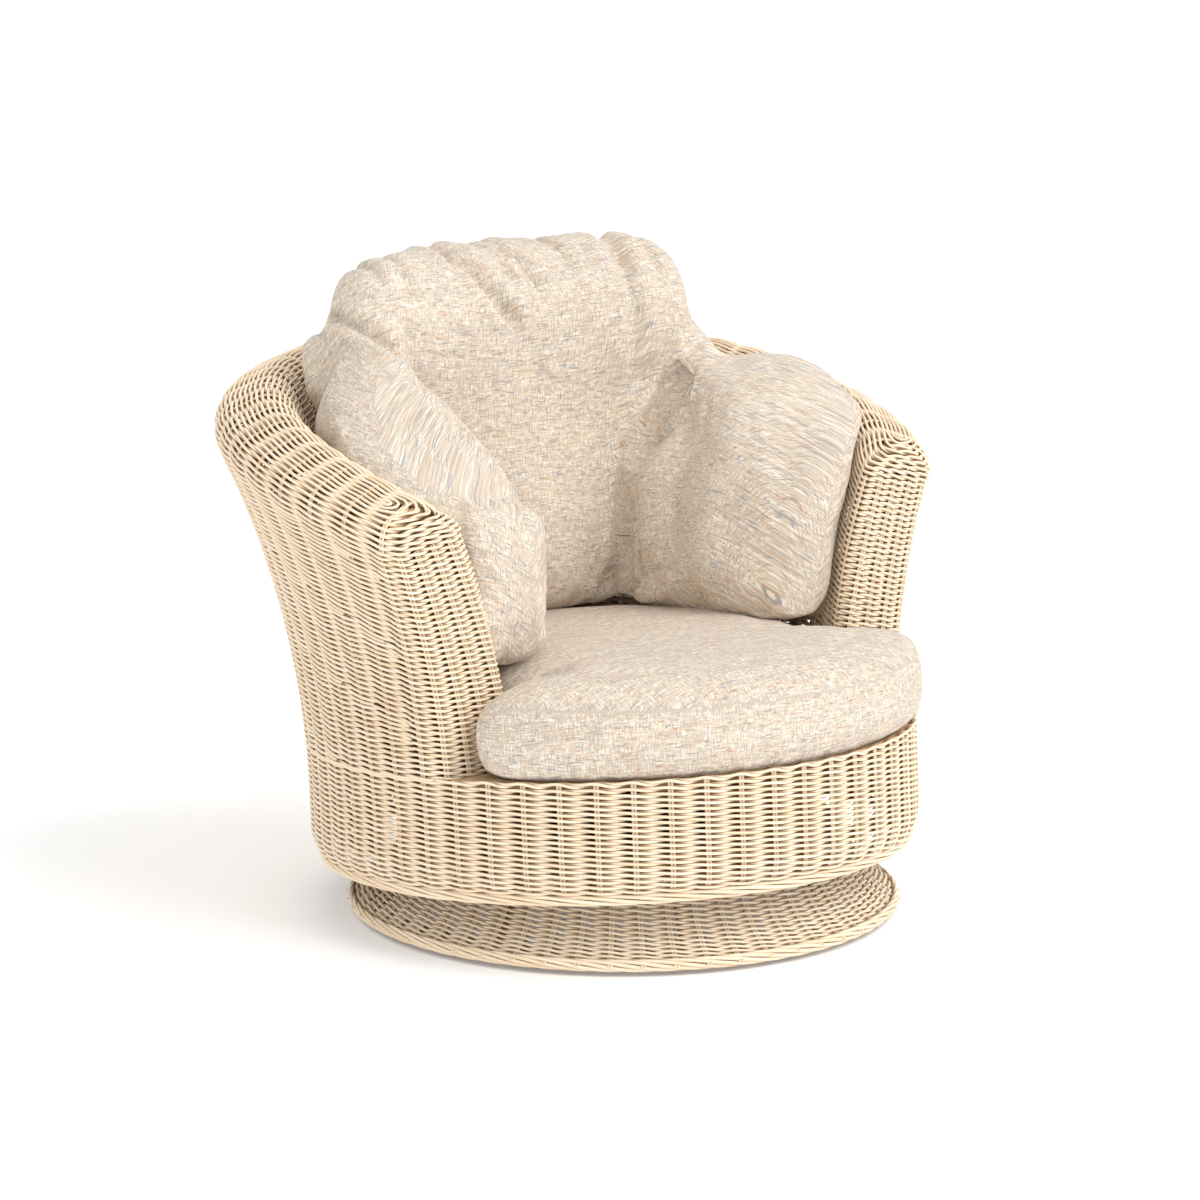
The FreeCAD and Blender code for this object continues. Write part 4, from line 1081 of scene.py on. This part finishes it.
def dress_cushion(piece, cloth, replaces):
    """Stores the tweed's coordinates and hands the piece over."""
    attribute = piece.data.attributes.new("cloth", "FLOAT_VECTOR", "POINT")
    attribute.data.foreach_set("vector", cloth.astype(np.float32).ravel())
    piece.data.materials.clear()
    piece.data.materials.append(tweed_material)
    piece.data.shade_smooth()
    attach(piece, "seat")
    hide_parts(*replaces)
    print(piece.name, "triangles", triangles(piece.data))


# %% [markdown]
# The seat cushion has a top panel and an upright border, joined by a plain seam. On the top the
# yarn runs straight across the chair and straight back. On the border it runs round and up.

# %% Seat cushion
SEAT_VOXEL = 0.005
SEAT_DRAW = 0.002            # drawn in by this much before it is blown up by at most the cap
SEAT_CAP = 0.008
SEAT_MIDDLE_Y = -0.04
BORDER_FACING = 0.55         # cloth that faces up less than this belongs to the border
BORDER_RUN = 0.40            # metres of yarn for one radian round the border
APART = 5.0                  # keeps the top's tweed away from the border's
seat = cushion_copy("seat_cushion_cover", ["seat_cushion"], SEAT_VOXEL, 0.0, SEAT_DRAW)
stuffed(seat, SEAT_CAP)
points = upright(read_points(seat.data))
facing = read_normals(seat.data)
angle = np.arctan2(points[:, 0], SEAT_MIDDLE_Y - points[:, 1])
border = facing[:, 2] < BORDER_FACING
cloth = np.stack((np.where(border, angle * BORDER_RUN, points[:, 0]),
                  np.where(border, points[:, 2], points[:, 1] + APART),
                  np.where(border, 1.0, 2.0)), axis=1)
dress_cushion(seat, cloth, ["seat_cushion"])

# %% [markdown]
# The back cushion is one cover with three stuffed parts: the middle and two wings that wrap the
# tub. The wing on the chair's right has sunk inside the tub and is thick at its tip, so its CAD
# solid is pressed down and balls of filling round it out. More balls close the joins. All of it
# is grown until it meets and remeshed as one, which leaves a soft valley at each join. The top
# seam gathers the cloth, so short folds run over the top edge.

# %% Back cushion with its wings
BACK_VOXEL = 0.006
BACK_DRAW = 0.003
BACK_CAP = 0.010
JOIN_REACH = 0.020           # parts closer together than twice this grow into one cover
JOIN_BALL = 0.042            # radii of the balls of filling: in the joins, in the wing, at its tip,
WING_BALL = 0.045            # along its foot, and where the other wing meets the middle
TIP_BALL = 0.042
FOOT_BALL = 0.032
CORNER_BALL = 0.030
JOIN_FOOT = 0.405            # the joins are filled from here up to their top
JOIN_TOP = 0.735
JOIN_THIN = 0.62             # over this height their filling grows thinner, by this share at the top
JOIN_THINNING = 0.45
JOIN_AT = 45.0               # degrees from the back, and how far inside the wall the joins stay
JOIN_CLEAR = 0.012
JOIN_LEAST_Y = 0.12
JOIN_DEEP = 0.52             # over this height a second ball lies in front of each
MIDDLE_FOOT = 0.356          # the middle part: where it stands, and how its half width grows
MIDDLE_RISE = 0.354
MIDDLE_HALF = 0.158
MIDDLE_SPREAD = 0.132
MIDDLE_FULL = 0.69           # over this height its half width stays,
WALL_FULL = 0.70             # and over this one the wall's radius
FOOT_REACH = 0.312           # how far from the axis, how high and where the wing's foot is filled
FOOT_HIGH = 0.376
FOOT_AT = (84.0, 90.0, 96.0, 102.0)
back_parts = ["back_cushion", "back_wing_left", "back_wing_right"]
# The wing on the chair's right: degrees from the back, inner radius, height of its top.
WING_AT = (54.0, 57.0, 60.0, 64.0, 68.0, 75.0, 82.0, 90.0, 97.0, 104.0, 110.0, 114.0)
WING_IN = (0.268, 0.265, 0.255, 0.240, 0.226, 0.202, 0.186, 0.176, 0.172, 0.170, 0.178, 0.188)
WING_TOP = (0.800, 0.790, 0.770, 0.740, 0.720, 0.694, 0.665, 0.638, 0.612, 0.580, 0.550, 0.525)
# Heights, and how far out the wing may reach at each.
WING_OUT = ((0.60, 0.66, 0.70, 0.78), (0.400, 0.380, 0.358, 0.342))
WING_WALL = 0.004            # the wing keeps this far inside that reach, and this far under its top
WING_UNDER = 0.008
WING_EVERY = 3.0             # degrees from one column of filling to the next
WING_FULL_FROM = 66.0        # columns of filling reach the wing's foot from here on,
WING_THIN_FROM = 100.0       # and fill only its inner side from here on
WING_FOOT = 0.412
RAISE_FROM = 0.70            # the middle part's top is raised from this height on,
RAISE_OVER = 0.14            # fully so this much higher, by this much
RAISED = 0.015
TIP_RISE = (0.42, 0.52)
WING_TIP = ((-0.215, -0.105), (-0.250, -0.108), (-0.285, -0.108))
TIP_FOOT = ((-0.200, -0.100, 0.386), (-0.235, -0.110, 0.386), (-0.275, -0.112, 0.386))
OTHER_CORNER = ((0.270, 0.195, 0.715), (0.285, 0.172, 0.698), (0.286, 0.145, 0.680),
                (0.262, 0.165, 0.680))


def inside_wall(degrees, z):
    """Radius of the tub's inner wall, no higher than where the roll begins."""
    bend = flare_arc(degrees)[0]
    return BODY_R + bend - math.sqrt((bend + WALL_THICK) ** 2 - max(0.0, z - FLARE_Z) ** 2)


def ball(spot, radius):
    return seated(np.array(spot)), radius


def join_balls():
    """Filling in the joins between the middle and the wings, from the seat up."""
    balls = []
    for z in np.linspace(JOIN_FOOT, JOIN_TOP, 16):
        thin = JOIN_BALL * (1.0 - JOIN_THINNING * max(0.0, (z - JOIN_THIN) / (JOIN_TOP - JOIN_THIN)))
        half = MIDDLE_HALF + MIDDLE_SPREAD * ((min(z, MIDDLE_FULL) - MIDDLE_FOOT) / MIDDLE_RISE) ** 2
        reach = inside_wall(JOIN_AT, min(z, WALL_FULL)) - thin - JOIN_CLEAR
        y = math.sqrt(max(reach ** 2 - half ** 2, JOIN_LEAST_Y ** 2))
        for share in (1.0, 0.9) if z > JOIN_DEEP else (1.0,):
            balls += [ball((side * half * share, y * share, z), thin) for side in (-1, 1)]
    return balls + [ball(spot, CORNER_BALL) for spot in OTHER_CORNER]


def wing_balls():
    """Filling of the wing on the chair's right, round its inner side and over its top."""
    balls = []
    for degrees in np.arange(WING_AT[0], WING_AT[-1] - 1.0, WING_EVERY):
        inner = np.interp(degrees, WING_AT, WING_IN) + WING_BALL
        top = np.interp(degrees, WING_AT, WING_TOP) - WING_BALL
        outer = max(np.interp(top, *WING_OUT) - WING_BALL - WING_WALL, inner)
        spots = [(r, top) for r in np.linspace(inner, outer, 4) if degrees < WING_THIN_FROM or r == inner]
        if degrees > WING_FULL_FROM:
            spots += [(inner, z) for z in np.linspace(WING_FOOT, top, 7)[:-1]]
        angle = -math.radians(degrees)
        balls += [ball((r * math.sin(angle), r * math.cos(angle), z), WING_BALL) for r, z in spots]
    for x, y in WING_TIP:
        balls += [ball((x, y, z), TIP_BALL) for z in np.linspace(*TIP_RISE, 5)]
    low = [(FOOT_REACH * math.sin(a), FOOT_REACH * math.cos(a), FOOT_HIGH) for a in np.radians(FOOT_AT)]
    return balls + [ball(spot, FOOT_BALL) for spot in [*TIP_FOOT, *low]]


def soft_min(value, cap, soft=0.006):
    """The smaller of two values, with a rounded change from one to the other."""
    return -soft * np.logaddexp(-value / soft, -cap / soft)


def press_wing(points):
    """Presses the CAD wing on the chair's right under its top's curve, away from the wall."""
    p = upright(points)
    turned = np.degrees(np.arctan2(-p[:, 0], p[:, 1]))
    radius = np.hypot(p[:, 0], p[:, 1])
    z = soft_min(p[:, 2], np.interp(turned, WING_AT, WING_TOP) - WING_UNDER)
    drawn = np.minimum(radius, soft_min(radius, np.interp(z, *WING_OUT) - WING_WALL))
    p[:, :2] *= (drawn / np.maximum(radius, 1e-6))[:, None]
    p[:, 2] = z
    return seated(p)


def raise_top(points):
    """The top of the middle part stands a little over its CAD solid."""
    p = upright(points)
    share = np.clip((p[:, 2] - RAISE_FROM) / RAISE_OVER, 0.0, 1.0)
    p[:, 2] += smooth(share, RAISED)
    return seated(p)


back = cushion_copy("back_cushion_cover", back_parts, BACK_VOXEL, JOIN_REACH, JOIN_REACH + BACK_DRAW,
                    join_balls() + wing_balls(),
                    {"back_wing_right": press_wing, "back_cushion": raise_top})
stuffed(back, BACK_CAP)
# Gathers are places across the top seam. A fold is a line seen from the front, its depth and width.
GATHERS = (-0.268, -0.228, -0.180, -0.092, -0.012, 0.085, 0.165, 0.208)
GATHER_DEPTH = 0.009
GATHER_WIDTH = 0.009
GATHER_FROM = 0.775          # gathers begin at this height and are full this much higher
GATHER_OVER = 0.05
FRONT_FACING = 0.25          # folds are pressed only into cloth that faces back less than this
FOLDS = [
    ([(-0.082, 0.845), (-0.071, 0.833), (-0.061, 0.816), (-0.049, 0.796), (-0.034, 0.772),
      (-0.019, 0.747), (-0.012, 0.721)], 0.014, 0.009),
    ([(0.008, 0.845), (0.018, 0.827), (0.022, 0.803), (0.026, 0.775)], 0.009, 0.008),
    ([(0.160, 0.840), (0.163, 0.816), (0.164, 0.766), (0.171, 0.699), (0.187, 0.628)], 0.007, 0.010),
    ([(-0.290, 0.792), (-0.270, 0.769), (-0.256, 0.754), (-0.235, 0.737), (-0.200, 0.712)], 0.012, 0.007),
    ([(0.126, 0.385), (0.134, 0.437), (0.150, 0.510), (0.165, 0.552), (0.190, 0.600), (0.215, 0.640),
      (0.245, 0.690)], 0.012, 0.007),
]
settle(back, "SUBSURF", levels=1, render_levels=1)
points = upright(read_points(back.data))
normals = read_normals(back.data)
ahead = normals[:, 1] < FRONT_FACING
push = np.zeros(len(points))
for line, depth, width in FOLDS:
    push += np.where(ahead, fold_depth(points[:, (0, 2)], line, depth, width), 0.0)
near_top = np.clip((points[:, 2] - GATHER_FROM) / GATHER_OVER, 0.0, 1.0)
for x in GATHERS:
    push -= GATHER_DEPTH * near_top * np.exp(-((points[:, 0] - x) / GATHER_WIDTH) ** 2)
write_points(back.data, read_points(back.data) + normals * push[:, None])

# The tweed runs across the middle part and round the wings, and turns where the cloth faces back.
WING_RUN = 0.30              # metres of yarn for one radian round a wing
TURN_AT = 0.15               # half width over which the yarn turns back on the middle part
BACK_FACING = 0.3
ACROSS_BY_DEPTH = 0.6        # the yarn's place also moves with the cloth's depth, across and up,
UP_BY_DEPTH = 0.7            # so that it does not streak where the cloth turns away
trees = [BVHTree.FromPolygons([v.co for v in nodes[n].data.vertices],
                              [p.vertices for p in nodes[n].data.polygons]) for n in back_parts]
world_points = read_points(back.data)
gaps = np.array([[tree.find_nearest(Vector(p))[3] for tree in trees] for p in world_points])
part = gaps.argmin(axis=1)
points = upright(world_points)
normals = upright(read_normals(back.data)) - upright(np.zeros(3))
side = np.where(points[:, 0] < 0, -1.0, 1.0)
reach = np.hypot(points[:, 0], points[:, 1])
along = side * np.arctan2(np.abs(points[:, 0]), points[:, 1]) * WING_RUN
outward = (normals[:, :2] * points[:, :2]).sum(axis=1) / np.maximum(reach, 1e-6)
middle = part == 0
turn = np.clip(points[:, 0] / TURN_AT, -1.0, 1.0)
rising = np.where(np.where(middle, normals[:, 1], outward) > BACK_FACING, -1.0, 1.0)
cloth = np.stack((np.where(middle, points[:, 0] + ACROSS_BY_DEPTH * turn * (points[:, 1] - TURN_AT),
                           along - ACROSS_BY_DEPTH * side * reach),
                  rising * points[:, 2] + UP_BY_DEPTH * np.where(middle, points[:, 1], reach),
                  part + 3.0), axis=1)
dress_cushion(back, cloth, back_parts)

# %% [markdown]
# What the weave and the cushions leave in sight of the CAD model gets plain finishes: cane poles
# behind the slits, the plywood board, and the steel rocker in the dark gap.

# %% Finishes of the construction


def plain_nodes(scale, light, dark):
    """A recipe for two tints that a fine grain mixes."""
    def build(graph):
        spot = graph.add("ShaderNodeTexCoord", {}, out=3)
        grain = graph.noise(graph.vector("MULTIPLY", spot, scale), 1.0, 3.0)
        return {"Base_Color": graph.mix(grain.ramp(0.35, 0.65), light, dark)}
    return build


# Each plain finish: how fine its grain is along three axes, its two tints, roughness and metal.
FINISHES = {
    "cane_pole": ((30, 30, 30), (0.62, 0.43, 0.22), (0.45, 0.29, 0.13), 0.5, 0.0),
    "plywood": ((6, 60, 6), (0.62, 0.47, 0.29), (0.50, 0.36, 0.21), 0.7, 0.0),
    "softwood": ((5, 70, 70), (0.70, 0.52, 0.31), (0.58, 0.40, 0.22), 0.65, 0.0),
    "black_steel": ((90, 90, 90), (0.035, 0.035, 0.036), (0.022, 0.022, 0.023), 0.45, 0.0),
    "zinc_steel": ((120, 120, 120), (0.62, 0.62, 0.60), (0.50, 0.50, 0.49), 0.35, 1.0),
    "black_rubber": ((90, 90, 90), (0.03, 0.03, 0.03), (0.02, 0.02, 0.02), 0.8, 0.0),
    "brown_plastic": ((90, 90, 90), (0.20, 0.11, 0.055), (0.17, 0.09, 0.045), 0.4, 0.0),
}
finishes = {"woven_cane": cane_material, "cushion_tweed": tweed_material}
for name, (grain, light, dark, roughness, metal) in FINISHES.items():
    finishes[name] = finish_material(name + "_finish", plain_nodes(grain, light, dark),
                                     Roughness=roughness, Metallic=metal)
for entry in frame["record"]["subparts"]:
    node = nodes[entry["node"]]
    node.data.materials.clear()
    node.data.materials.append(finishes[entry["material_slot"]])
print("finishes", len(finishes))

# %% [markdown]
# The studio is white. A large soft sun stands to the camera's right and throws a faint shadow to
# the left. The world is pure white where the camera sees it and dimmer where it only lights.

# %% Studio
KEY_STRENGTH = 1.75
KEY_ANGLE = math.radians(50.0)
KEY_FROM = Vector((1.3, -2.2, 2.5))
FILL_POWER = 25.0
FILL_SIZE = 2.4
FILL_FROM = Vector((-3.6, -3.2, 2.0))
AMBIENT = 0.90
FLOOR_REACH = 14.0
FLOOR_GLOW = 0.14            # keeps the floor white beyond the lamps' reach
LAMPS_AIM = Vector((0.0, 0.0, 0.35))


def lamp(name, kind, where, **settings):
    data = bpy.data.lights.new(name, kind)
    for key, value in settings.items():
        setattr(data, key, value)
    light = placed(name, data)
    light.location = where
    light.rotation_euler = (LAMPS_AIM - where).to_track_quat("-Z", "Y").to_euler()


lamp("key", "SUN", KEY_FROM, energy=KEY_STRENGTH, angle=KEY_ANGLE)
lamp("fill", "AREA", FILL_FROM, energy=FILL_POWER, size=FILL_SIZE)

world = bpy.data.worlds.new("studio")
world.use_nodes = True
scene.world = world
graph = Graph(world.node_tree)
seen = graph.add("ShaderNodeLightPath", {})
mirrored = seen.other("Is Glossy Ray")
through = seen.other("Is Transmission Ray")
straight = seen.math("MAXIMUM", mirrored).math("MAXIMUM", through)
backdrop = world.node_tree.nodes["Background"]
backdrop.inputs["Color"].default_value = (1.0, 1.0, 1.0, 1.0)
world.node_tree.links.new((straight * (1.0 - AMBIENT) + AMBIENT).socket, backdrop.inputs["Strength"])

floor_mesh = bpy.data.meshes.new("floor")
corner = FLOOR_REACH
corners = [(-corner, -corner, 0), (corner, -corner, 0), (corner, corner, 0), (-corner, corner, 0)]
floor_mesh.from_pydata(corners, [], [(0, 1, 2, 3)])
floor = placed("floor", floor_mesh)
floor_paint = finish_material("floor_paint", lambda graph: {}, Base_Color=(0.92, 0.92, 0.92, 1.0),
                              Roughness=0.9, Specular_IOR_Level=0.1,
                              Emission_Color=(1.0, 1.0, 1.0, 1.0), Emission_Strength=FLOOR_GLOW)
floor_mesh.materials.append(floor_paint)
scene.view_settings.view_transform = "Standard"
scene.view_settings.look = "None"
